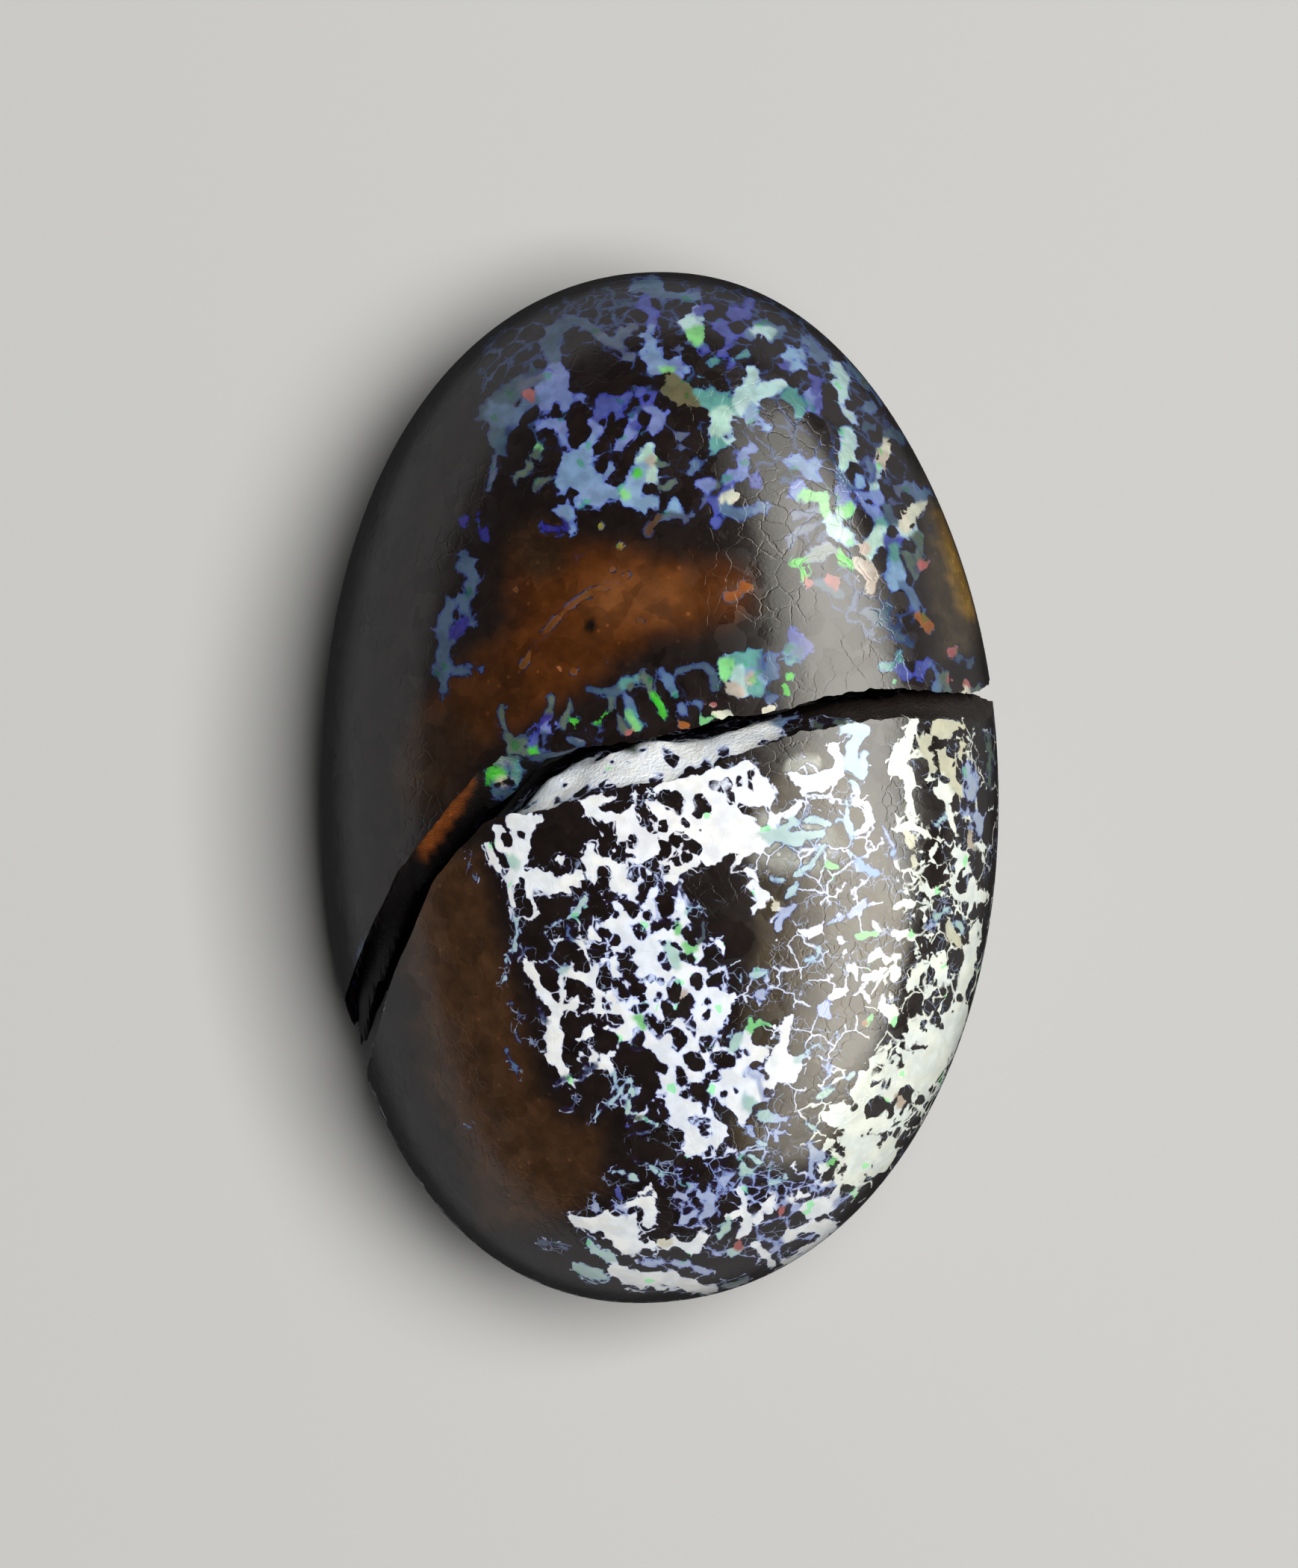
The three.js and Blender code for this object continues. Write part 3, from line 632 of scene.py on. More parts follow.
# White opal that the grains of the lower half stand in
LOWER_WHITE = strokes(
    WHITE,
    ((795, 1080, 16), (835, 1090, 36), (870, 1110, 44), (905, 1085, 40), (960, 1075, 44),
     (1000, 1060, 38)),
    ((800, 1150, 22), (840, 1180, 34), (860, 1215, 30), (862, 1250, 28)),
    ((940, 1120, 34), (985, 1115, 36), (1020, 1110, 26)),
    ((925, 1150, 16), (902, 1170, 16), (905, 1205, 14), (905, 1240, 16)),
    ((820, 1235, 22), (850, 1270, 34), (895, 1270, 30), (925, 1275, 20)),
    ((810, 1290, 18), (820, 1345, 24), (870, 1320, 40), (925, 1310, 26)),
    ((840, 1350, 30), (890, 1350, 34), (950, 1355, 34), (975, 1340, 12)),
    ((825, 1385, 20), (870, 1390, 30), (930, 1400, 34), (985, 1405, 26), (1010, 1400, 22)),
    ((895, 1425, 22), (905, 1465, 26), (915, 1500, 22), (935, 1530, 26)),
    ((935, 1440, 30), (985, 1465, 28), (965, 1510, 24), (970, 1535, 14)),
    ((1000, 1165, 5), (1011, 1182, 6), (1021, 1198, 7), (1022, 1209, 5), (1012, 1214, 4),
     (1009, 1224, 2)),
)

# Dark grains in the white network, by rows from the break down
LOWER_GRAINS = strokes(
    ROCK,
    ((815, 1080, 8), (834, 1078, 10)), ((812, 1064, 4), (828, 1060, 5), (843, 1054, 3)),
    ((767, 1098, 14), (750, 1106, 18), (730, 1116, 14)),
    ((762, 1112, 16), (740, 1132, 18), (724, 1146, 12)), ((755, 1134, 11),),
    ((777, 1140, 7), (774, 1133, 5)), ((740, 1163, 5), (749, 1167, 8)), ((763, 1153, 8),),
    ((818, 1106, 7), (815, 1128, 12), (808, 1142, 7)), ((807, 1099, 3), (804, 1116, 3)),
    ((833, 1133, 7), (828, 1148, 6)), ((848, 1125, 7), (844, 1134, 5)),
    ((864, 1067, 5), (876, 1066, 6)), ((860, 1086, 10), (869, 1101, 9)),
    ((892, 1069, 12), (908, 1076, 11), (908, 1088, 6)), ((888, 1108, 7),),
    ((936, 1072, 9), (942, 1080, 11), (936, 1090, 7)), ((955, 1050, 5), (968, 1051, 7), (975, 1059, 4)),
    ((980, 1064, 5), (979, 1074, 6)), ((991, 1043, 3), (991, 1050, 4)),
    ((990, 1080, 4), (997, 1084, 4)), ((1010, 1086, 6), (1022, 1085, 7)), ((1022, 1101, 6),),
    ((1038, 1098, 3), (1048, 1112, 3)), ((1003, 1036, 4), (1005, 1052, 4)),
    ((914, 1099, 4), (920, 1106, 5)), ((904, 1122, 9), (920, 1130, 9), (933, 1137, 5)),
    ((890, 1132, 8), (888, 1143, 8)), ((914, 1149, 8), (906, 1157, 4)), ((938, 1112, 2),),
    ((977, 1152, 8), (984, 1144, 3)), ((845, 1162, 6), (849, 1173, 7)),
    ((863, 1160, 6), (860, 1172, 4)), ((885, 1162, 4), (892, 1167, 6)),
    ((808, 1168, 9), (807, 1188, 9), (811, 1197, 4)), ((793, 1190, 4),),
    ((811, 1203, 6), (820, 1200, 6)), ((788, 1220, 10), (803, 1222, 13), (814, 1218, 8)),
    ((827, 1222, 4), (824, 1228, 3)), ((782, 1185, 5), (783, 1196, 4)),
    ((863, 1191, 5), (872, 1180, 7)), ((860, 1205, 5), (853, 1203, 3)),
    ((829, 1204, 3), (837, 1202, 2)), ((841, 1212, 8), (847, 1223, 6)), ((865, 1228, 6),),
    ((896, 1190, 8), (892, 1208, 13), (889, 1226, 9), (900, 1238, 6)), ((855, 1243, 8), (859, 1253, 7)),
    ((875, 1239, 5), (874, 1248, 3)), ((772, 1250, 7), (781, 1252, 7)),
    ((741, 1250, 4), (750, 1247, 7)), ((812, 1250, 6), (824, 1260, 6)),
    ((795, 1268, 8), (808, 1271, 9), (799, 1282, 7)), ((764, 1275, 9), (775, 1289, 10), (785, 1300, 4)),
    ((738, 1282, 5), (748, 1288, 6)), ((732, 1305, 6), (738, 1320, 9), (746, 1335, 5)),
    ((832, 1281, 6), (842, 1276, 7)), ((835, 1292, 4), (848, 1293, 5)),
    ((762, 1318, 7), (771, 1320, 7)), ((811, 1297, 8), (808, 1315, 9)),
    ((786, 1331, 8), (790, 1345, 7)), ((829, 1318, 8), (834, 1333, 9)),
    ((843, 1308, 7), (853, 1322, 12), (858, 1336, 6)), ((808, 1337, 2), (813, 1347, 4), (816, 1352, 3)),
    ((872, 1311, 6),), ((885, 1314, 5),), ((884, 1332, 4), (879, 1339, 3)),
    ((888, 1279, 6), (893, 1294, 6)), ((888, 1263, 3),), ((903, 1264, 4), (910, 1271, 3)),
    ((916, 1281, 5), (926, 1285, 7)), ((918, 1247, 8), (930, 1253, 11), (926, 1262, 5)),
    ((946, 1270, 8), (950, 1283, 9), (940, 1290, 5)), ((904, 1320, 10), (904, 1333, 9)),
    ((936, 1311, 7), (934, 1324, 5)), ((952, 1316, 7), (965, 1312, 9), (975, 1320, 6)),
    ((922, 1339, 9), (917, 1355, 10)), ((890, 1349, 6), (896, 1362, 7)),
    ((853, 1353, 6), (863, 1349, 5)), ((762, 1364, 11), (766, 1380, 11)),
    ((787, 1362, 5), (799, 1366, 5)), ((815, 1365, 8), (824, 1368, 8)),
    ((872, 1368, 10), (881, 1379, 11), (889, 1371, 4)), ((852, 1381, 5), (857, 1393, 8)),
    ((804, 1385, 10), (813, 1398, 12), (797, 1401, 7)), ((764, 1400, 8), (766, 1416, 9)),
    ((778, 1407, 2),), ((945, 1343, 4),), ((945, 1360, 3), (950, 1353, 4)),
    ((926, 1375, 6), (930, 1380, 4)), ((905, 1382, 9), (908, 1398, 8)),
    ((940, 1392, 5), (948, 1400, 8)), ((989, 1350, 10), (984, 1372, 14), (970, 1392, 10)),
    ((845, 1410, 17), (860, 1425, 22), (868, 1450, 14), (862, 1468, 10)),
    ((885, 1430, 6), (880, 1425, 5)), ((880, 1442, 3),),
    ((872, 1480, 5), (884, 1478, 4), (889, 1470, 3)), ((910, 1432, 6), (911, 1447, 7)),
    ((925, 1418, 9), (935, 1425, 9)), ((957, 1419, 9), (973, 1420, 10)),
    ((948, 1445, 7), (958, 1442, 8)), ((914, 1465, 3), (919, 1464, 2)),
    ((934, 1457, 6), (937, 1468, 5)), ((949, 1475, 8), (960, 1483, 5)), ((969, 1466, 4),),
    ((986, 1464, 3),), ((890, 1495, 6), (884, 1500, 5)), ((931, 1501, 7), (943, 1503, 8)),
    ((942, 1517, 4), (950, 1519, 3)), ((970, 1493, 10), (979, 1501, 7)),
    ((894, 1515, 7), (906, 1519, 9), (912, 1530, 5)), ((871, 1535, 8), (892, 1546, 8), (902, 1552, 6)),
    ((952, 1536, 3), (948, 1544, 4)), ((965, 1543, 6), (966, 1552, 4)),
    ((985, 1515, 10), (992, 1530, 12)), ((934, 1560, 14), (945, 1575, 12)),
    ((1022, 1388, 11), (1034, 1400, 9), (1011, 1388, 3)), ((1000, 1410, 3),),
    ((988, 1406, 4), (990, 1414, 3)),
)

# The wide dark grains, the green flecks and the white shards around the highlight
LOWER_MIDDLE = (
    stroke(ROCK, (930, 1190, 22), (960, 1186, 22), (988, 1196, 22), (1000, 1225, 26), (965, 1230, 24)),
    stroke(ROCK, (945, 1215, 16), (985, 1258, 26), (1012, 1262, 28), (1005, 1300, 18)),
    stroke(WHITE, (953, 1257, 4), (961, 1260, 5), (968, 1269, 5), (969, 1281, 2)),
    stroke(WHITE, (908, 1191, 2), (912, 1206, 5), (914, 1222, 5), (917, 1232, 4), (926, 1236, 1)),
    stroke(MINT, (922, 1221, 3), (935, 1219, 3), (941, 1223, 2)),
    stroke(MOSS, (941, 1228, 2), (942, 1242, 2), (942, 1256, 2), (932, 1264, 1)),
    stroke(GREEN, (917, 1266, 3), (928, 1270, 4), (922, 1275, 3)),
    stroke(MINT, (893, 1265, 3), (903, 1283, 6), (906, 1291, 4)),
    stroke(GREEN, (907, 1240, 3), (908, 1248, 2)),
    stroke(WHITE, (1008, 1182, 6), (1019, 1196, 7), (1021, 1208, 5), (1011, 1214, 4), (1009, 1224, 2)),
    stroke(CREAM, (1036, 1215, 6), (1040, 1210, 5)),
    stroke(WHITE, (1062, 1217, 1), (1050, 1222, 5), (1045, 1232, 5), (1041, 1246, 3), (1040, 1259, 1)),
    stroke(PALE, (1065, 1182, 4), (1060, 1192, 5), (1053, 1202, 3)),
    stroke(PALE, (1033, 1175, 3), (1047, 1177, 5)),
    stroke(WHITE, (950, 1302, 2), (960, 1298, 3), (971, 1299, 3), (975, 1312, 2)),
    stroke(PALE, (1006, 1305, 3), (1014, 1306, 5), (1025, 1301, 3)),
    stroke(PALE, (992, 1305, 1), (992, 1314, 2)),
    stroke(LAVENDER, (1014, 1332, 4), (1021, 1327, 5), (1020, 1336, 4)),
    stroke(WHITE, (941, 1330, 4), (957, 1333, 6), (971, 1338, 8), (980, 1340, 5)),
    stroke(WHITE, (966, 1352, 13), (955, 1368, 12), (942, 1380, 9)),
    *strokes(ROCK, ((945, 1343, 4),), ((945, 1361, 3), (950, 1353, 4))),
    stroke(GREEN, (1004, 1366, 4), (1008, 1376, 6), (1017, 1372, 4)),
    stroke(GREEN, (1017, 1368, 3), (1032, 1374, 2)),
    stroke(GREEN, (855, 1364, 4), (862, 1375, 2)),
    stroke(LEAF, (851, 1400, 2), (855, 1403, 1)),
    stroke(BLUSH, (909, 1338, 2), (916, 1329, 2)),
    stroke(WHITE, (1000, 1398, 10), (1014, 1408, 9), (1026, 1412, 5)),
    stroke(MINT, (985, 1390, 8), (982, 1404, 5)),
    *strokes(
        WHITE,
        ((1062, 1361, 3), (1052, 1370, 7), (1046, 1380, 7), (1038, 1377, 3)),
        ((1050, 1382, 7), (1051, 1400, 8), (1046, 1418, 14), (1042, 1435, 15), (1052, 1440, 13)),
        ((1052, 1425, 14), (1066, 1424, 8), (1060, 1445, 7)), ((1036, 1440, 12), (1030, 1455, 6)),
    ),
    stroke(PALE, (1068, 1420, 3), (1085, 1404, 2), (1096, 1398, 3), (1100, 1408, 2)),
    stroke(PALE, (998, 1472, 4), (1014, 1486, 6), (1028, 1495, 7), (1042, 1499, 5)),
    stroke(MINT, (1005, 1478, 5), (1020, 1490, 5)),
    stroke(LAVENDER, (1040, 1499, 3), (1065, 1498, 3)),
    stroke(LAVENDER, (1058, 1505, 2), (1047, 1518, 3), (1038, 1516, 3), (1040, 1527, 3)),
    stroke(LAVENDER, (1003, 1511, 5), (1008, 1521, 3)),
    stroke(PALE, (1017, 1531, 3), (1024, 1532, 3)),
    stroke(MINT, (1004, 1548, 4), (1014, 1556, 4)),
    stroke(ROCK, (1090, 1422, 13), (1085, 1445, 14), (1092, 1462, 12)),
    stroke(ROCK, (1052, 1468, 10), (1042, 1480, 7)),
    stroke(WHITE, (1178, 1247, 3), (1172, 1240, 5), (1168, 1232, 3)),
    stroke(WHITE, (1122, 1228, 4), (1136, 1226, 7), (1150, 1216, 5), (1162, 1199, 1)),
    stroke(WHITE, (1095, 1243, 6), (1087, 1250, 6), (1083, 1258, 3)),
    stroke(GREEN, (1146, 1253, 5), (1154, 1256, 5), (1164, 1248, 3), (1174, 1253, 3)),
    *strokes(
        WHITE,
        ((1128, 1262, 4), (1137, 1261, 3)), ((1131, 1274, 3), (1129, 1283, 3)),
        ((1198, 1250, 4), (1208, 1253, 7), (1219, 1252, 6), (1209, 1264, 4)),
        ((1198, 1214, 3), (1210, 1210, 5), (1222, 1216, 2)), ((1237, 1217, 4), (1238, 1231, 4)),
        ((1203, 1193, 1), (1213, 1195, 3)), ((1176, 1272, 4), (1169, 1279, 7), (1164, 1288, 4)),
        ((1188, 1286, 5), (1200, 1283, 6), (1200, 1298, 7), (1197, 1311, 5)),
        ((1187, 1297, 2), (1172, 1305, 3), (1156, 1309, 5)),
        ((1138, 1297, 5), (1146, 1300, 5), (1147, 1314, 3)),
        ((1112, 1335, 4), (1123, 1330, 7), (1132, 1327, 5)),
    ),
    stroke(LAVENDER, (1100, 1352, 8), (1110, 1362, 7), (1104, 1344, 5)),
    stroke(PALE, (1120, 1362, 3), (1120, 1383, 2)),
    stroke(WHITE, (1185, 1340, 7), (1189, 1351, 11), (1195, 1365, 7), (1197, 1376, 4)),
    stroke(WHITE, (1177, 1350, 4), (1206, 1350, 2)),
    stroke(GREEN, (1167, 1360, 4), (1160, 1369, 5)),
    stroke(ORANGE, (1156, 1370, 3)),
    stroke(WHITE, (1157, 1329, 2), (1163, 1340, 4), (1165, 1346, 2)),
    *strokes(LAVENDER, ((1152, 1160, 7),), ((1172, 1168, 6),)),
    *strokes(GREEN, ((1110, 1158, 5), (1122, 1160, 4)), ((1177, 1152, 2), (1179, 1158, 2))),
)

# The grains and white slivers of the right flank and the rim of the lower half
LOWER_RIGHT = (
    stroke(WHITE, (1058, 1043, 7), (1080, 1050, 12), (1102, 1047, 13), (1116, 1036, 10),
           (1123, 1018, 8), (1117, 1002, 8)),
    stroke(WHITE, (1070, 1066, 7), (1072, 1078, 4)),
    stroke(PALE, (1135, 975, 12), (1155, 978, 12), (1138, 1003, 9), (1142, 1024, 11), (1152, 1036, 8),
           (1158, 1008, 6)),
    stroke(MINT, (1124, 1056, 1), (1138, 1045, 3), (1146, 1050, 4), (1147, 1064, 5)),
    stroke(WHITE, (1145, 1070, 7), (1158, 1074, 4), (1164, 1088, 6), (1167, 1098, 5), (1157, 1108, 6),
           (1146, 1116, 4)),
    stroke(PALE, (1134, 1072, 3), (1133, 1090, 4), (1136, 1104, 7), (1140, 1114, 4)),
    stroke(WHITE, (1042, 1096, 8), (1054, 1090, 9), (1066, 1084, 6), (1074, 1070, 4)),
    stroke(PALE, (1050, 1108, 6), (1070, 1098, 5), (1092, 1099, 5), (1112, 1104, 5), (1128, 1100, 5)),
    stroke(PALE, (1030, 1118, 8), (1060, 1124, 10), (1084, 1120, 8), (1100, 1116, 6)),
    stroke(PALE, (1141, 1116, 1), (1142, 1134, 1), (1139, 1150, 1)),
    stroke(PALE, (1104, 1130, 2), (1094, 1148, 3), (1084, 1160, 4), (1070, 1168, 5), (1060, 1176, 3)),
    stroke(LAVENDER, (1179, 1102, 1), (1188, 1118, 2), (1196, 1132, 2)),
    stroke(SKY, (1150, 1152, 3), (1156, 1162, 3), (1168, 1168, 5), (1176, 1172, 3)),
    stroke(SKY, (1194, 1143, 4)),
    stroke(LAVENDER, (1162, 1200, 1), (1157, 1213, 3), (1140, 1221, 3), (1126, 1231, 6),
           (1110, 1236, 3)),
    stroke(WHITE, (1198, 1214, 2), (1210, 1208, 5), (1223, 1213, 2)),
    stroke(LAVENDER, (1064, 1213, 2), (1054, 1222, 4), (1045, 1232, 4), (1040, 1248, 2)),
    stroke(WHITE, (1071, 1246, 3), (1084, 1250, 7), (1092, 1243, 5)),
    stroke(WHITE, (1124, 1258, 3), (1138, 1263, 2), (1131, 1274, 3)),
    stroke(WHITE, (1162, 1290, 4), (1168, 1278, 7), (1178, 1276, 3), (1186, 1284, 2)),
    stroke(PALE, (1098, 1266, 1), (1094, 1282, 4), (1080, 1287, 3)),
    *strokes(
        ROCK,
        ((1046, 1008, 6), (1066, 1004, 11), (1086, 998, 8), (1101, 990, 3)),
        ((1031, 1028, 10), (1045, 1045, 13), (1055, 1066, 14), (1044, 1082, 9)),
        ((1060, 1026, 6), (1086, 1022, 7), (1100, 1010, 4)),
        ((1086, 1074, 8), (1104, 1078, 12), (1122, 1082, 9)), ((1146, 1090, 6), (1149, 1102, 5)),
    ),
    stroke(WHITE, (1223, 970, 7), (1219, 985, 8), (1209, 1006, 12), (1203, 1026, 15), (1214, 1032, 12),
           (1220, 1050, 8), (1216, 1066, 7), (1221, 1082, 5), (1224, 1092, 2)),
    stroke(WHITE, (1204, 1112, 5), (1220, 1105, 6), (1238, 1117, 4), (1246, 1122, 3)),
    *strokes(CREAM, ((1216, 1123, 8), (1220, 1133, 6)), ((1222, 1148, 4), (1226, 1158, 5))),
    stroke(WHITE, (1235, 1155, 3), (1250, 1154, 4)),
    *strokes(
        CREAM,
        ((1262, 975, 15), (1276, 972, 10), (1285, 975, 6)),
        ((1244, 985, 5), (1238, 1000, 7), (1243, 1012, 4), (1250, 1032, 4)),
        ((1262, 1010, 9), (1268, 1028, 12), (1276, 1036, 8)), ((1287, 998, 6), (1284, 1015, 5)),
    ),
    stroke(WHITE, (1234, 1045, 3), (1256, 1043, 5), (1262, 1058, 12), (1270, 1068, 7)),
    stroke(CREAM, (1276, 1045, 5), (1285, 1060, 4), (1292, 1068, 5)),
    stroke(WHITE, (1271, 1082, 5), (1274, 1098, 4), (1278, 1112, 2)),
    stroke(PALE, (1263, 1095, 3), (1254, 1105, 3)),
    stroke(LAVENDER, (1297, 1030, 7), (1301, 1052, 8), (1292, 1085, 5)),
    stroke(LAVENDER, (1309, 1092, 6), (1311, 1112, 7), (1303, 1108, 5)),
    stroke(BLUSH, (1298, 1118, 4), (1298, 1132, 4)),
    stroke(MOSS, (1323, 985, 4), (1326, 1010, 4), (1325, 1050, 4)),
    *strokes(
        WHITE,
        ((1248, 1143, 5), (1253, 1130, 4)), ((1278, 1142, 7), (1292, 1148, 7), (1285, 1160, 7)),
        ((1268, 1168, 6), (1272, 1180, 5), (1296, 1165, 4)),
        ((1240, 1188, 5), (1242, 1200, 6), (1252, 1195, 5), (1262, 1196, 4)),
        ((1223, 1176, 3), (1230, 1186, 3), (1236, 1193, 4)),
        ((1273, 1190, 4), (1282, 1200, 6), (1296, 1200, 8), (1312, 1198, 8)),
        ((1302, 1180, 6), (1305, 1205, 8), (1300, 1218, 6)),
    ),
    stroke(PALE, (1252, 1232, 4), (1260, 1222, 4), (1268, 1218, 3)),
    stroke(LAVENDER, (1247, 1239, 4)),
    stroke(CREAM, (1270, 1240, 6), (1275, 1255, 7), (1285, 1262, 6)),
    stroke(PALE, (1284, 1235, 6), (1287, 1245, 4)),
    *strokes(
        WHITE,
        ((1242, 1253, 2), (1256, 1251, 3)),
        ((1309, 1240, 7), (1304, 1262, 9), (1298, 1285, 10), (1292, 1308, 9), (1288, 1328, 5)),
        ((1272, 1272, 6), (1262, 1280, 10), (1255, 1290, 10), (1262, 1300, 8), (1256, 1312, 6)),
        ((1249, 1322, 5), (1241, 1328, 4), (1240, 1345, 4)),
        ((1236, 1294, 7), (1228, 1305, 9), (1219, 1320, 5), (1213, 1336, 2)),
        ((1262, 1345, 4), (1258, 1352, 5)),
        ((1288, 1350, 10), (1280, 1370, 18), (1268, 1392, 20), (1250, 1392, 16), (1228, 1382, 13),
         (1219, 1376, 7)),
        ((1262, 1400, 18), (1245, 1420, 24), (1232, 1442, 20), (1222, 1430, 16), (1214, 1412, 8)),
        ((1205, 1407, 6), (1196, 1404, 3)), ((1203, 1418, 4), (1195, 1430, 4)),
        ((1210, 1440, 9), (1200, 1458, 8), (1192, 1472, 5)), ((1232, 1452, 12), (1240, 1464, 6)),
    ),
    stroke(BLUSH, (1206, 1470, 5), (1206, 1480, 4)),
    *strokes(
        WHITE,
        ((1156, 1440, 8), (1152, 1460, 10), (1158, 1475, 10), (1156, 1488, 12)),
        ((1160, 1468, 10), (1172, 1460, 7), (1182, 1448, 3)),
        ((1131, 1484, 8), (1118, 1488, 10), (1108, 1496, 8), (1130, 1500, 15), (1150, 1505, 17)),
        ((1160, 1505, 15), (1185, 1507, 9), (1200, 1502, 5), (1220, 1488, 4)),
        ((1120, 1527, 7), (1110, 1533, 6), (1104, 1540, 3)),
        ((1140, 1530, 16), (1150, 1548, 18), (1142, 1572, 15), (1138, 1578, 12)),
        ((1165, 1535, 16), (1185, 1545, 16), (1178, 1560, 12), (1192, 1528, 9)),
    ),
    stroke(GREEN, (1113, 1556, 5)),
    *strokes(
        ROCK,
        ((1190, 973, 9), (1203, 981, 9), (1193, 986, 7)), ((1204, 968, 5),),
        ((1185, 1010, 10), (1179, 1030, 8)),
        ((1190, 1053, 9), (1203, 1062, 8), (1196, 1076, 9), (1203, 1097, 4)),
        ((1235, 1022, 7), (1234, 1034, 6)), ((1239, 1056, 9), (1239, 1078, 14), (1236, 1098, 10)),
        ((1254, 1080, 7), (1259, 1088, 5)), ((1237, 972, 5), (1243, 980, 4)),
        ((1253, 999, 5), (1246, 1003, 4)), ((1251, 1008, 2), (1258, 1036, 2)),
        ((1273, 996, 6), (1275, 1007, 5)), ((1226, 985, 2), (1223, 1002, 2)),
        ((1280, 1068, 4), (1284, 1090, 6), (1289, 1110, 6), (1290, 1130, 5)),
        ((1266, 1112, 5), (1272, 1128, 6)), ((1233, 1130, 9), (1243, 1131, 7)),
        ((1206, 1120, 4), (1206, 1133, 3)), ((1247, 1173, 9), (1254, 1170, 8), (1262, 1178, 5)),
        ((1254, 1211, 7), (1270, 1206, 5), (1276, 1218, 4)), ((1308, 1155, 6), (1312, 1172, 6)),
        ((1286, 1177, 6), (1290, 1190, 4)), ((1234, 1278, 9), (1250, 1266, 8), (1258, 1268, 6)),
        ((1293, 1245, 3), (1295, 1262, 3)), ((1276, 1272, 3), (1275, 1286, 3)),
        ((1228, 1332, 8), (1225, 1348, 9), (1223, 1360, 4)), ((1273, 1322, 5), (1271, 1340, 6)),
        ((1246, 1305, 4), (1249, 1312, 3)), ((1249, 1343, 3), (1247, 1352, 3)),
        ((1254, 1358, 4), (1258, 1374, 3)), ((1235, 1374, 2), (1240, 1380, 2)),
        ((1215, 1407, 2), (1225, 1403, 3), (1236, 1402, 3)), ((1203, 1388, 6), (1196, 1400, 5)),
        ((1207, 1428, 4),), ((1216, 1460, 4), (1217, 1474, 5)), ((1193, 1442, 2), (1188, 1458, 3)),
        ((1170, 1486, 7), (1180, 1478, 8)), ((1194, 1480, 5), (1191, 1494, 5)),
        ((1178, 1531, 4), (1182, 1526, 3)), ((1122, 1537, 5),), ((1229, 1500, 6), (1223, 1512, 5)),
        ((1209, 1530, 5), (1208, 1545, 5)),
    ),
)

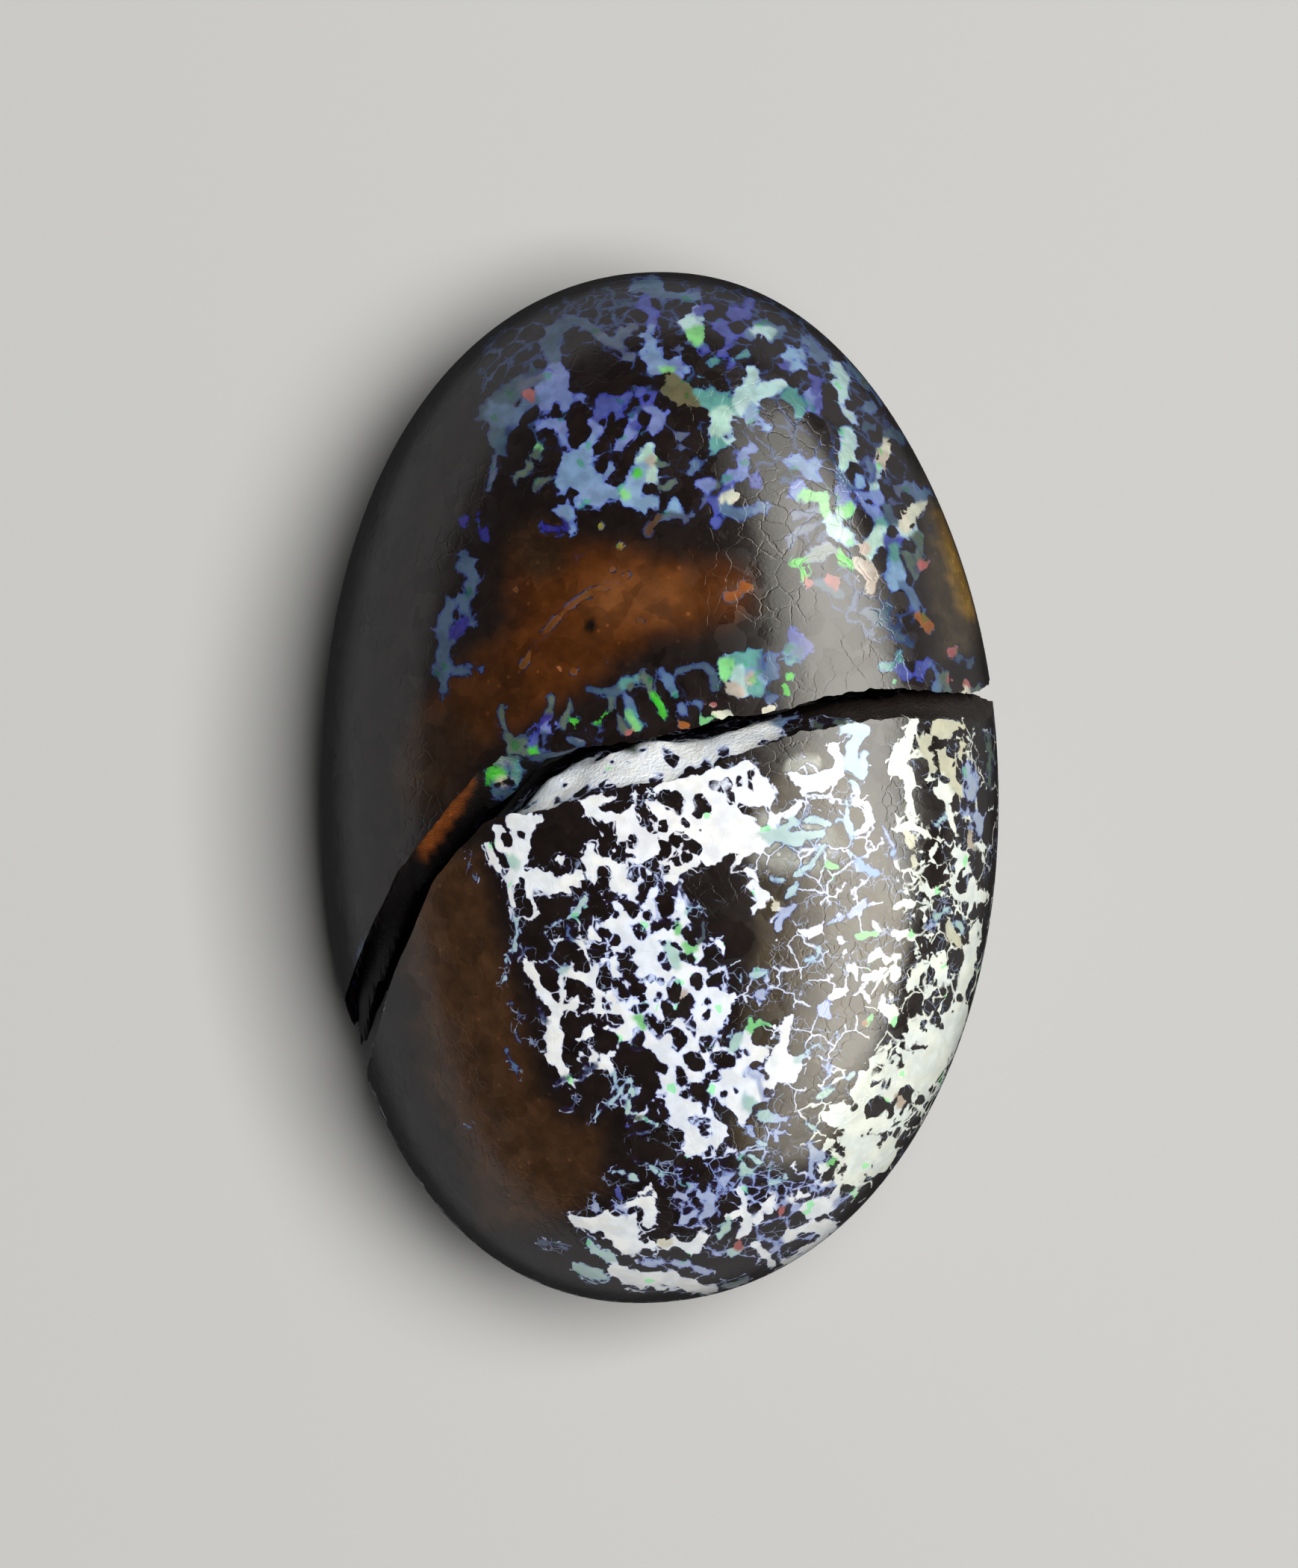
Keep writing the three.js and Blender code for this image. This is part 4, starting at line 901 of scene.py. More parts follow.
# The lower end
LOWER_END = (
    stroke(WHITE, (764, 1630, 4), (778, 1636, 8), (796, 1640, 10), (812, 1636, 14), (824, 1650, 15),
           (845, 1660, 18)),
    stroke(WHITE, (820, 1634, 10), (842, 1638, 12), (855, 1664, 12), (872, 1668, 8)),
    *strokes(LAVENDER, ((795, 1605, 3), (799, 1620, 5)), ((822, 1614, 3), (838, 1621, 5))),
    stroke(PALE, (788, 1661, 4), (796, 1675, 6), (815, 1683, 8), (824, 1690, 5)),
    stroke(ROCK, (805, 1662, 5), (814, 1665, 4)),
    stroke(WHITE, (842, 1612, 4), (858, 1612, 8), (872, 1613, 13), (875, 1627, 13), (868, 1636, 9)),
    stroke(WHITE, (860, 1597, 5), (872, 1592, 8), (878, 1603, 5)),
    stroke(WHITE, (884, 1662, 7), (900, 1665, 9), (918, 1669, 8), (930, 1672, 10), (936, 1660, 11),
           (941, 1650, 6)),
    stroke(CREAM, (885, 1662, 4), (896, 1664, 3)),
    stroke(WHITE, (822, 1702, 9), (842, 1710, 12), (870, 1715, 12), (898, 1713, 12), (922, 1721, 9),
           (955, 1728, 7)),
    stroke(PALE, (770, 1696, 5), (788, 1704, 9), (804, 1708, 8)),
    stroke(STONE, (970, 1722, 5), (985, 1722, 7), (998, 1715, 5)),
    stroke(LAVENDER, (862, 1692, 5), (885, 1691, 4), (906, 1692, 6), (924, 1694, 5), (948, 1704, 5)),
    stroke(ROCK, (862, 1655, 7), (876, 1653, 6)),
    stroke(ROCK, (884, 1592, 9), (890, 1612, 11), (894, 1635, 11), (894, 1650, 8)),
    *strokes(
        LAVENDER,
        ((912, 1637, 5), (922, 1630, 6), (930, 1624, 4)), ((908, 1600, 6), (917, 1604, 4)),
        ((920, 1585, 5), (926, 1588, 4)),
        ((938, 1600, 6), (950, 1605, 8), (950, 1622, 7), (938, 1632, 4)),
    ),
    *strokes(ROCK, ((970, 1605, 7), (970, 1632, 8)), ((962, 1668, 10), (952, 1650, 7))),
    stroke(LAVENDER, (993, 1585, 4), (1002, 1600, 4), (1010, 1611, 3)),
    stroke(WHITE, (990, 1592, 4), (996, 1612, 6), (998, 1635, 8), (1001, 1648, 6), (988, 1656, 4)),
    stroke(WHITE, (1032, 1608, 7), (1026, 1623, 8), (1014, 1634, 6), (1003, 1632, 4)),
    stroke(WHITE, (975, 1628, 6), (986, 1626, 7)),
    *strokes(MINT, ((966, 1652, 7), (976, 1644, 7)), ((993, 1560, 6), (1000, 1567, 6), (992, 1574, 4))),
    stroke(WHITE, (1010, 1668, 7), (1017, 1672, 6), (1030, 1685, 6), (1034, 1692, 5)),
    stroke(PALE, (978, 1678, 6), (990, 1672, 5)),
    *strokes(ROSE, ((989, 1667, 5),), ((1045, 1643, 5),), ((1047, 1622, 4),)),
    stroke(PALE, (1032, 1584, 3), (1045, 1580, 4), (1050, 1577, 4)),
    stroke(WHITE, (1085, 1620, 13), (1100, 1615, 13), (1116, 1614, 9), (1124, 1611, 4)),
    stroke(LAVENDER, (1122, 1613, 4), (1134, 1604, 3)),
    stroke(WHITE, (1060, 1606, 4), (1072, 1601, 6), (1082, 1600, 4)),
    stroke(WHITE, (1055, 1655, 7), (1072, 1646, 7), (1092, 1640, 9), (1110, 1645, 11), (1128, 1652, 5)),
    stroke(WHITE, (1050, 1700, 10), (1074, 1686, 13), (1098, 1672, 13), (1118, 1658, 11)),
    stroke(LAVENDER, (1085, 1533, 4), (1092, 1548, 7), (1102, 1550, 5)),
    stroke(LAVENDER, (1086, 1553, 4), (1087, 1575, 3), (1083, 1588, 3), (1098, 1598, 2),
           (1114, 1588, 2)),
    stroke(MINT, (1095, 1470, 3), (1104, 1465, 5), (1116, 1459, 3)),
    *strokes(PALE, ((1135, 1445, 3), (1143, 1438, 3)), ((1080, 1505, 2), (1090, 1510, 3))),
    stroke(LAVENDER, (1108, 1425, 3), (1107, 1437, 2)),
    *strokes(MAUVE, ((725, 1665, 3), (760, 1672, 3)), ((628, 1510, 4),)),
)

# Seen through the gap, on the rough face of each half
UPPER_BREAK = (
    stroke(STONE, (645, 1018, 8), (688, 1018, 8)),
    stroke(LEAF, (659, 1036, 8), (671, 1038, 8)),
    stroke(TEAL, (692, 1022, 6), (690, 1052, 6)),
    stroke(BLUSH, (675, 1049, 5)),
    stroke(SLATE, (663, 1062, 6), (686, 1063, 6)),
    stroke(STEEL, (725, 1008, 13), (755, 1020, 16), (785, 1036, 9)),
    stroke(HAZE, (735, 1040, 6), (722, 1056, 8), (708, 1068, 5)),
    stroke(SLATE, (770, 1004, 5), (800, 1000, 4)),
    *strokes(IRIS, ((850, 985, 3), (870, 980, 4)), ((980, 965, 5), (1005, 964, 5))),
    stroke(SLATE, (1020, 950, 4), (1045, 944, 3)),
    stroke(TEAL, (1090, 940, 3), (1112, 938, 3)),
    stroke(STEEL, (1186, 925, 5), (1194, 926, 4)),
    stroke(TEAL, (1203, 930, 4)),
    stroke(ROSE, (1225, 919, 4)),
)
LOWER_BREAK = (
    *strokes(
        ROCK,
        ((890, 1006, 5), (903, 1019, 5)), ((945, 1022, 6),), ((917, 1033, 3), (932, 1037, 4)),
        ((812, 1055, 6), (845, 1066, 6)), ((1022, 994, 4), (1040, 1001, 5)),
        # painted shadow: a wide strip of bare dark rock along the gap's right part, which lies in shade
        ((1085, 990, 18), (1140, 985, 25), (1250, 985, 25), (1330, 985, 20)),
    ),
    stroke(MOSS, (815, 996, 4), (848, 1000, 4)),
    *strokes(SKY, ((875, 976, 5), (955, 970, 5)), ((1045, 967, 6), (1065, 964, 5))),
    stroke(MOSS, (1095, 970, 6), (1125, 969, 6)),
    *strokes(
        ROCK,
        ((700, 1079, 2), (716, 1078, 3), (727, 1084, 2)),
        ((744, 1073, 2), (757, 1076, 3), (768, 1072, 2)),
        ((775, 1064, 2), (788, 1060, 4), (806, 1056, 3)),
        ((866, 1046, 2), (884, 1040, 3), (899, 1038, 2)), ((960, 1016, 3), (975, 1010, 2)),
    ),
)

# The rock's colours, as they show on a screen, in steps of 255; some paint shadow or reflection into
# the rock, as noted beside them
BLACKISH = (27, 20, 18)
PITCH = (18, 11, 8)
# painted shadow: near black, for the broken face where it lies in the gap's shade
PAINTED_SHADOW_ROCK = (14, 11, 11)
AMBER = (80, 42, 14)
HONEYED = (106, 62, 30)
BURNT = (62, 34, 13)
BRONZE = (47, 31, 19)
RUST = (66, 43, 25)
EMBER = (108, 56, 20)
# painted reflection: the pale floor's yellowish reflection along the right rim
PAINTED_RIM_REFLECTION = (140, 106, 38)
# partly painted light: tawny rock along the upper right rim where it reflects the floor, and in the
# lower highlight band to tint the highlight
TAWNY_ROCK_AND_SHEEN = (64, 54, 40)
MILKY = (150, 150, 140)

UPPER_ZONES = (
    Zone(((725, 510, 70), (850, 510, 120), (1000, 500, 100), (1080, 580, 60)), level=-3.6),
    Zone(((1120, 580, 60), (1160, 700, 60), (1185, 800, 45)), level=-3.6),
    Zone(((735, 770, 20), (775, 800, 34), (850, 796, 26), (905, 800, 16), (970, 794, 6)),
         rock=AMBER, soft=55.0),
    Zone(((790, 830, 30), (745, 865, 34), (700, 905, 24)), rock=AMBER, soft=55.0),
    Zone(((820, 800, 12), (900, 802, 8)), rock=HONEYED, soft=40.0),
    Zone(((790, 839, 5),), rock=PITCH, soft=5.0),
    Zone(((655, 925, 30), (612, 965, 26)), rock=BURNT, soft=40.0),
    Zone(((590, 1000, 24), (572, 1040, 20)), rock=BRONZE, soft=40.0),
    Zone(((722, 738, 18),), rock=BRONZE, soft=40.0),
    # painted reflection: tawny along the right rim, where it reflects the floor
    Zone(((1262, 650, 14), (1275, 760, 20), (1285, 850, 14)), rock=TAWNY_ROCK_AND_SHEEN, soft=25.0),
    # painted reflection: a thin ochre band on the right rim, where it reflects the floor
    Zone(((1272, 690, 1), (1283, 730, 4), (1294, 775, 4), (1303, 815, 1)), rock=PAINTED_RIM_REFLECTION, soft=22.0),
)
LOWER_ZONES = (
    Zone(((1255, 980, 40), (1268, 1100, 46), (1250, 1200, 46), (1268, 1300, 40)), level=-1.2),
    Zone(((1250, 1410, 46), (1160, 1500, 46), (1120, 1560, 40)), level=0.0),
    # brown rock in the lower highlight band, made lighter there partly to give the highlight a khaki
    # tint: partly painted highlight
    Zone(((1085, 1110, 70), (1120, 1250, 80), (1080, 1370, 70), (1060, 1480, 60)), level=-4.0,
         rock=TAWNY_ROCK_AND_SHEEN),
    Zone(((900, 1250, 110), (930, 1400, 110)), level=-5.0),
    Zone(((1062, 1026, 5), (1088, 1022, 5)), rock=MILKY, soft=10.0),
    Zone(((1038, 1128, 18), (1085, 1132, 12)), rock=MILKY, soft=34.0),
    Zone(((1280, 1000, 50), (1300, 1200, 50), (1270, 1400, 50), (1160, 1520, 50)),
         veil=(0.97, 1.0, 0.9), soft=50.0),
    Zone(((880, 1260, 50), (930, 1440, 50), (960, 1540, 40)), veil=(0.93, 0.95, 1.0), soft=50.0),
    Zone(((860, 1110, 20), (960, 1120, 30)), veil=(1.0, 0.98, 0.99), soft=50.0),
    Zone(((840, 1175, 18), (870, 1205, 12)), level=3.0, tint=LAVENDER),
    Zone(((930, 1440, 16), (1005, 1460, 16)), level=3.0, tint=LAVENDER),
    Zone(((900, 1590, 26), (990, 1620, 50), (1050, 1640, 40)), level=-1.0, tint=LAVENDER),
    Zone(((870, 1250, 30),), tint=LAVENDER, soft=40.0),
    Zone(((600, 1190, 26), (600, 1250, 32), (622, 1320, 34), (640, 1400, 38), (652, 1460, 38)),
         rock=RUST, soft=45.0),
    Zone(((690, 1540, 40), (740, 1570, 36), (690, 1590, 26)), rock=RUST, soft=45.0),
)
UPPER_BREAK_ZONES = (
    # painted shadow: the lower part of the upper broken face made near black, as it lies in shade
    Zone(((495, 1330, 30), (545, 1200, 20), (640, 1100, 16), (760, 1010, 12)), rock=PAINTED_SHADOW_ROCK, soft=16.0),
    Zone(((568, 1136, 4), (590, 1105, 6), (611, 1073, 6), (628, 1048, 3)), rock=EMBER, soft=10.0),
)
LOWER_BREAK_ZONES = (
    # painted shadow: no opal along the gap's right part and at its left end, where the gap lies in
    # shade
    Zone(((1100, 980, 30), (1330, 980, 40)), level=-10.0, soft=40.0),
    Zone(((440, 1450, 70), (540, 1290, 40), (600, 1180, 24), (640, 1120, 10)), level=-8.0, soft=20.0),
)


@dataclass(frozen=True)
class StoneForm:
    """The whole polished stone before it broke, in millimetres.

    A lump is a share of the radius, its waves along X, Y and Z, and their start.
    """

    length: float = 41.0
    width: float = 27.0
    height: float = 20.0
    crown_x: float = 2.2
    keel_x: float = -0.8
    left_rim_z: float = 6.2
    right_rim_z: float = 11.6
    keel_z: float = -1.5
    end_z: float = 9.0
    fullness: float = 2.1
    middle: Place = (-0.16, -0.23)
    base_softness: float = 0.3
    inset: float = 0.0015
    least_share: float = 0.05
    lumps: tuple[tuple[float, ...], ...] = (
        (0.009, 1.9, 2.6, 0.7, 0.4),
        (0.007, 3.4, -1.6, 2.2, 1.9),
        (0.005, -2.3, 4.7, 3.1, 3.3),
    )

    def polished(self, points: Points) -> Points:
        """Moves points of the unit sphere to the polished surface.

        Args:
            points: one unit vector in each row.

        Returns:
            The same points on the stone, in millimetres.
        """
        x, y, z = points.T
        across = np.hypot(x, z)
        full = (across**self.fullness + np.abs(y) ** self.fullness) ** (-1 / self.fullness)
        angle = np.arctan2(z, x)
        middle_x = np.where(z >= 0, self.crown_x, self.keel_x)
        middle_z = np.where(x >= 0, self.right_rim_z, self.left_rim_z)
        far_x = np.where(x >= 0, self.width / 2, -self.width / 2)
        far_z = np.where(z >= 0, self.height, self.keel_z)
        section_x = middle_x + (far_x - middle_x) * np.abs(np.cos(angle))
        section_z = middle_z + (far_z - middle_z) * np.abs(np.sin(angle))
        swell = np.ones(len(points))
        for share, wave_x, wave_y, wave_z, start in self.lumps:
            swell += share * np.sin(wave_x * x + wave_y * y + wave_z * z + start)
        reach = across * full * swell
        placed = np.stack(
            [
                self.middle[0] + section_x * reach,
                self.middle[1] + self.length / 2 * y * full * swell,
                self.end_z + (section_z - self.end_z) * reach,
            ],
            axis=1,
        )
        placed += (np.array([0.0, 0.0, self.end_z]) - placed) * self.inset
        placed[:, 2] = self.ground_flat(placed[:, 2])
        return placed

    def ground_flat(self, height: Points) -> Points:
        """Flattens everything below the floor, with a softly rounded edge."""
        soft = self.base_softness
        rounded = (np.clip(height, -soft, soft) + soft) ** 2 / (4 * soft)
        return np.where(height > soft, height, rounded)

    def top_height(self, x: Points, y: Points) -> Points:
        """The height of the polished top at (x, y), or of the rim beyond it."""
        along = np.minimum(np.abs(y) / (self.length / 2), 1)
        share = (1 - along**self.fullness) ** (1 / self.fullness)
        share = np.maximum(share, self.least_share)
        right = x / share >= self.crown_x
        middle_z = np.where(right, self.right_rim_z, self.left_rim_z)
        far_x = np.where(right, self.width / 2, -self.width / 2)
        out = np.minimum(np.abs((x / share - self.crown_x) / (far_x - self.crown_x)), 1)
        section_z = middle_z + (self.height - middle_z) * np.sqrt(1 - out * out)
        return self.end_z + (section_z - self.end_z) * share


@dataclass(frozen=True)
class Break:
    """The break through the stone, in millimetres: its lines are seen from above.

    A swell is a height, its waves along X and Z, and their start. A crumb is a height and how
    fine its noise is.
    """

    stone: StoneForm
    gap: float = 0.85
    lip_depth: float = 1.5
    bow: float = 0.9
    bow_turn_x: float = -3.2
    bow_turn_width: float = 2.5
    bow_end_x: float = -12.6
    bow_end_width: float = 4.0
    slope_reach: float = 0.6
    swells: tuple[tuple[float, ...], ...] = (
        (0.34, 0.31, 0.27, 0.5),
        (0.16, -0.83, 0.62, 2.1),
        (0.1, 1.45, 1.31, 4.0),
    )
    crumbs: tuple[Place, ...] = ((0.13, 0.9), (0.07, 2.3), (0.035, 5.0))
    lip_crumbs: tuple[Place, ...] = ((0.12, 0.8), (0.09, 2.1), (0.05, 4.6))
    lip_crumb_start: float = 5.0
    lip_crumb_squash: float = 0.25
    line: tuple[Place, ...] = (
        (16, 2.3), (13, 2.7), (9.4, 3.25), (7, 3), (4.85, 2.55), (2.7, 2.45), (0.65, 2.2),
        (-1.1, 1.9), (-2.9, 1.6), (-4.4, 1), (-5.6, 0.1), (-6.7, -0.9), (-7.6, -1.85),
        (-8.5, -3.05), (-9.4, -4.5), (-10.2, -6), (-11.1, -8), (-12.2, -10.8), (-16, -20),
    )
    upper_edge: tuple[Place, ...] = (
        (16, 2.8), (13.3, 3.2), (11, 3.5), (9.4, 3.78), (6.95, 3.57), (4.85, 3), (2.7, 2.68),
        (0.65, 2.1), (-1.1, 1.72), (-2.9, 1.57), (-4.5, 1.28), (-5.95, 1.25), (-6.9, 0.6),
        (-7.8, -0.46), (-9.05, -1.96), (-10.1, -3.3), (-10.8, -4.6), (-11.5, -6), (-12.1, -7.6),
        (-16, -17),
    )
    lower_edge: tuple[Place, ...] = (
        (16, 1.8), (13.3, 2.3), (9.3, 2.7), (7.25, 2.4), (4.85, 1.94), (2.7, 1.14), (0.65, 0.29),
        (-2.35, -0.15), (-4.15, -0.86), (-5.7, -1.06), (-6.6, -1.35), (-7.65, -2.3), (-8.75, -3.8),
        (-9.4, -5.3), (-10, -6.6), (-10.85, -8.8), (-11.9, -12), (-16, -22),
    )

    @staticmethod
    def along(line: tuple[Place, ...], x: Points) -> Points:
        """y on a line of places whose x falls from one to the next."""
        places = np.array(line[::-1])
        return np.interp(x, places[:, 0], places[:, 1])

    @staticmethod
    def crumb(x: Points, z: Points, scales: tuple[Place, ...], start: float) -> Points:
        """Uneven small facets, from layers of noise given as (height, fineness)."""
        total = np.zeros(len(x))
        for height, fineness in scales:
            total += height * np.array(
                [noise.noise((a * fineness, start, b * fineness)) for a, b in zip(x, z)]
            )
        return total

    def face(self, x: Points, z: Points, side: Side) -> Points:
        """Where a half's broken face lies.

        Args:
            x: places across the stone.
            z: heights.
            side: the half.

        Returns:
            y of the face at each (x, z).
        """
        reach = self.slope_reach
        rise = self.along(self.line, x + reach) - self.along(self.line, x - reach)
        square = np.hypot(1, rise / (2 * reach))
        bow = self.bow * np.sin(np.pi * z / self.stone.height)
        bow *= np.tanh((x - self.bow_turn_x) / self.bow_turn_width)
        bow *= np.clip((x - self.bow_end_x) / self.bow_end_width, 0, 1)
        relief = bow + self.crumb(x, z, self.crumbs, 0.0)
        for height, wave_x, wave_z, start in self.swells:
            relief += height * np.sin(wave_x * x + wave_z * z + start)
        middle = self.along(self.line, x)
        deep = middle + (relief + side.value * self.gap / 2) * square
        depth = self.stone.top_height(x, middle) - z
        lip = np.clip(1 - depth / self.lip_depth, 0, 1)
        edge = self.along(self.upper_edge if side is Side.UPPER else self.lower_edge, x)
        start = self.lip_crumb_start * side.value
        edge += self.crumb(x, z * self.lip_crumb_squash, self.lip_crumbs, start)
        return deep + (edge - deep) * lip

    def past(self, places: Points, side: Side) -> Points:
        """How far places are on the other half's side of the break's line."""
        return (self.along(self.line, places[:, 0]) - places[:, 1]) * side.value


@dataclass(frozen=True)
class Viewpoint:
    """Where the photograph was taken from: straight above the stone, from a good way off."""

    frame_px: Place = (1738.0, 2100.0)
    origin_px: Place = (880.0, 1055.0)
    px_per_mm: float = 33.8
    rim_z: float = 9.0
    distance: float = 300.0
    sensor_mm: float = 36.0
    clip_m: Span = (0.01, 20.0)

    @property
    def place(self) -> Spot:
        """The camera's place, in millimetres."""
        x = (self.frame_px[0] / 2 - self.origin_px[0]) / self.px_per_mm
        y = (self.origin_px[1] - self.frame_px[1] / 2) / self.px_per_mm
        return x, y, self.rim_z + self.distance

    def pixels(self, points: Points) -> Points:
        """Where points of the stone show in the photograph.

        Args:
            points: one place in each row, in millimetres.

        Returns:
            One pair of pixel coordinates in each row.
        """
        x, y, z = self.place
        scale = self.px_per_mm * self.distance / (z - points[:, 2])
        across = self.frame_px[0] / 2 + (points[:, 0] - x) * scale
        down = self.frame_px[1] / 2 - (points[:, 1] - y) * scale
        return np.stack([across, down], axis=1)

    def make_camera(self) -> None:
        """Adds the camera and makes it the scene's own."""
        data = bpy.data.cameras.new("camera")
        data.sensor_width = self.sensor_mm
        data.lens = self.sensor_mm * self.distance * self.px_per_mm / self.frame_px[1]
        data.clip_start, data.clip_end = self.clip_m
        camera = bpy.data.objects.new("camera", data)
        camera.location = Vector(self.place) * MM
        bpy.context.scene.collection.objects.link(camera)
        bpy.context.scene.camera = camera


@dataclass(frozen=True)
class Grain:
    """How fine a noise is, how many layers it has, and how rough they make it."""

    per_mm: float
    detail: float = 2.0
    rough: float = 0.5


@dataclass(frozen=True)
class Patches:
    """Soft areas that a noise makes, between the two values that bound their edges."""

    grain: Grain
    low: float
    high: float


class Graph:
    """A material's node tree, built by short calls."""

    def __init__(self, name: str) -> None:
        """Starts an empty node material."""
        self.material = bpy.data.materials.new(name)
        self.material.use_nodes = True
        self.tree = self.material.node_tree
        self.tree.nodes.clear()

    def node(self, kind: str, **settings: object) -> bpy.types.Node:
        """Adds a node and sets its properties."""
        made = self.tree.nodes.new(kind)
        for name, value in settings.items():
            setattr(made, name, value)
        return made

    def feed(self, socket: Socket, value: object) -> None:
        """Links a socket to another one, or sets its value."""
        if isinstance(value, bpy.types.NodeSocket):
            self.tree.links.new(value, socket)
        elif socket.type == "RGBA":
            socket.default_value = (*value, 1.0)
        else:
            socket.default_value = value

    def result(
        self, kind: str, inputs: dict[int | str, object], output: int | str = 0, **settings: object
    ) -> Socket:
        """Adds a node and feeds it.

        Args:
            kind: the node's type.
            inputs: what goes into it, by the socket's number or name.
            output: which output is wanted.
            settings: the node's properties.

        Returns:
            The output.
        """
        made = self.node(kind, **settings)
        for name, value in inputs.items():
            self.feed(made.inputs[name], value)
        return made.outputs[output]

    def math(self, operation: str, a: object, b: object) -> Socket:
        """A Math node of two values."""
        return self.result("ShaderNodeMath", {0: a, 1: b}, operation=operation)

    def add(self, a: object, b: object) -> Socket:
        """Two numbers added."""
        return self.math("ADD", a, b)

    def less(self, a: object, b: object) -> Socket:
        """The second number taken from the first."""
        return self.math("SUBTRACT", a, b)

    def times(self, a: object, b: object) -> Socket:
        """Two numbers multiplied."""
        return self.math("MULTIPLY", a, b)

    def vector(self, operation: str, a: object, b: object) -> Socket:
        """A Vector Math node; for SCALE, b is the number to scale by."""
        second = "Scale" if operation == "SCALE" else 1
        return self.result("ShaderNodeVectorMath", {0: a, second: b}, operation=operation)

    def mix(self, share: object, a: object, b: object) -> Socket:
        """A colour from a to b."""
        inputs = {0: share, 6: a, 7: b}
        return self.result("ShaderNodeMix", inputs, 2, data_type="RGBA", clamp_factor=True)

    def veiled(self, share: object, colour: Socket, veil: Colour) -> Socket:
        """A colour that is multiplied by a veil where share is 1."""
        return self.mix(share, colour, self.vector("MULTIPLY", colour, veil))

    def blend(self, share: object, a: object, b: object) -> Socket:
        """A number from a to b."""
        inputs = {0: share, 2: a, 3: b}
        return self.result("ShaderNodeMix", inputs, data_type="FLOAT", clamp_factor=True)

    def ease(self, value: object, low: float, high: float) -> Socket:
        """0 below low, 1 above high and smooth between them."""
        inputs = {0: value, 1: low, 2: high}
        return self.result("ShaderNodeMapRange", inputs, interpolation_type="SMOOTHSTEP")

    def noise(self, at: Socket, grain: Grain, output: str = "Fac") -> Socket:
        """A Noise Texture."""
        inputs = {
            "Vector": at, "Scale": grain.per_mm, "Detail": grain.detail, "Roughness": grain.rough,
        }
        return self.result("ShaderNodeTexNoise", inputs, output)

    def patches(self, at: Socket, patches: Patches) -> Socket:
        """1 in soft areas that noise makes, and 0 between them."""
        return self.ease(self.noise(at, patches.grain), patches.low, patches.high)

    def cells(self, at: Socket, scale: float, feature: str = "F1") -> bpy.types.Node:
        """A Voronoi Texture."""
        made = self.node("ShaderNodeTexVoronoi", feature=feature)
        self.feed(made.inputs["Vector"], at)
        self.feed(made.inputs["Scale"], scale)
        return made

    def parts(self, colour: Socket) -> list[Socket]:
        """The red, green and blue of a colour, which in a cell are three chances."""
        made = self.node("ShaderNodeSeparateColor")
        self.feed(made.inputs[0], colour)
        return list(made.outputs)

    def between_cells(self, at: Socket, scale: float) -> Socket:
        """How much further the second nearest cell centre is than the nearest: 0 on a border."""
        near = self.cells(at, scale).outputs["Distance"]
        next_one = self.cells(at, scale, "F2").outputs["Distance"]
        return self.less(next_one, near)

    def attribute(self, name: str, output: str = "Fac") -> Socket:
        """The mesh's own attribute."""
        return self.node("ShaderNodeAttribute", attribute_name=name).outputs[output]

    def millimetres(self) -> Socket:
        """Object coordinates in millimetres."""
        place = self.node("ShaderNodeTexCoord").outputs["Object"]
        return self.vector("SCALE", place, 1 / MM)

    def surface(self, **sockets: object) -> bpy.types.Material:
        """Ends the tree in a Principled shader.

        Args:
            sockets: the shader's inputs by name, with _ for each space.

        Returns:
            The finished material.
        """
        shader = self.node("ShaderNodeBsdfPrincipled")
        for name, value in sockets.items():
            self.feed(shader.inputs[name.replace("_", " ")], value)
        output = self.node("ShaderNodeOutputMaterial")
        self.tree.links.new(shader.outputs[0], output.inputs["Surface"])
        return self.material


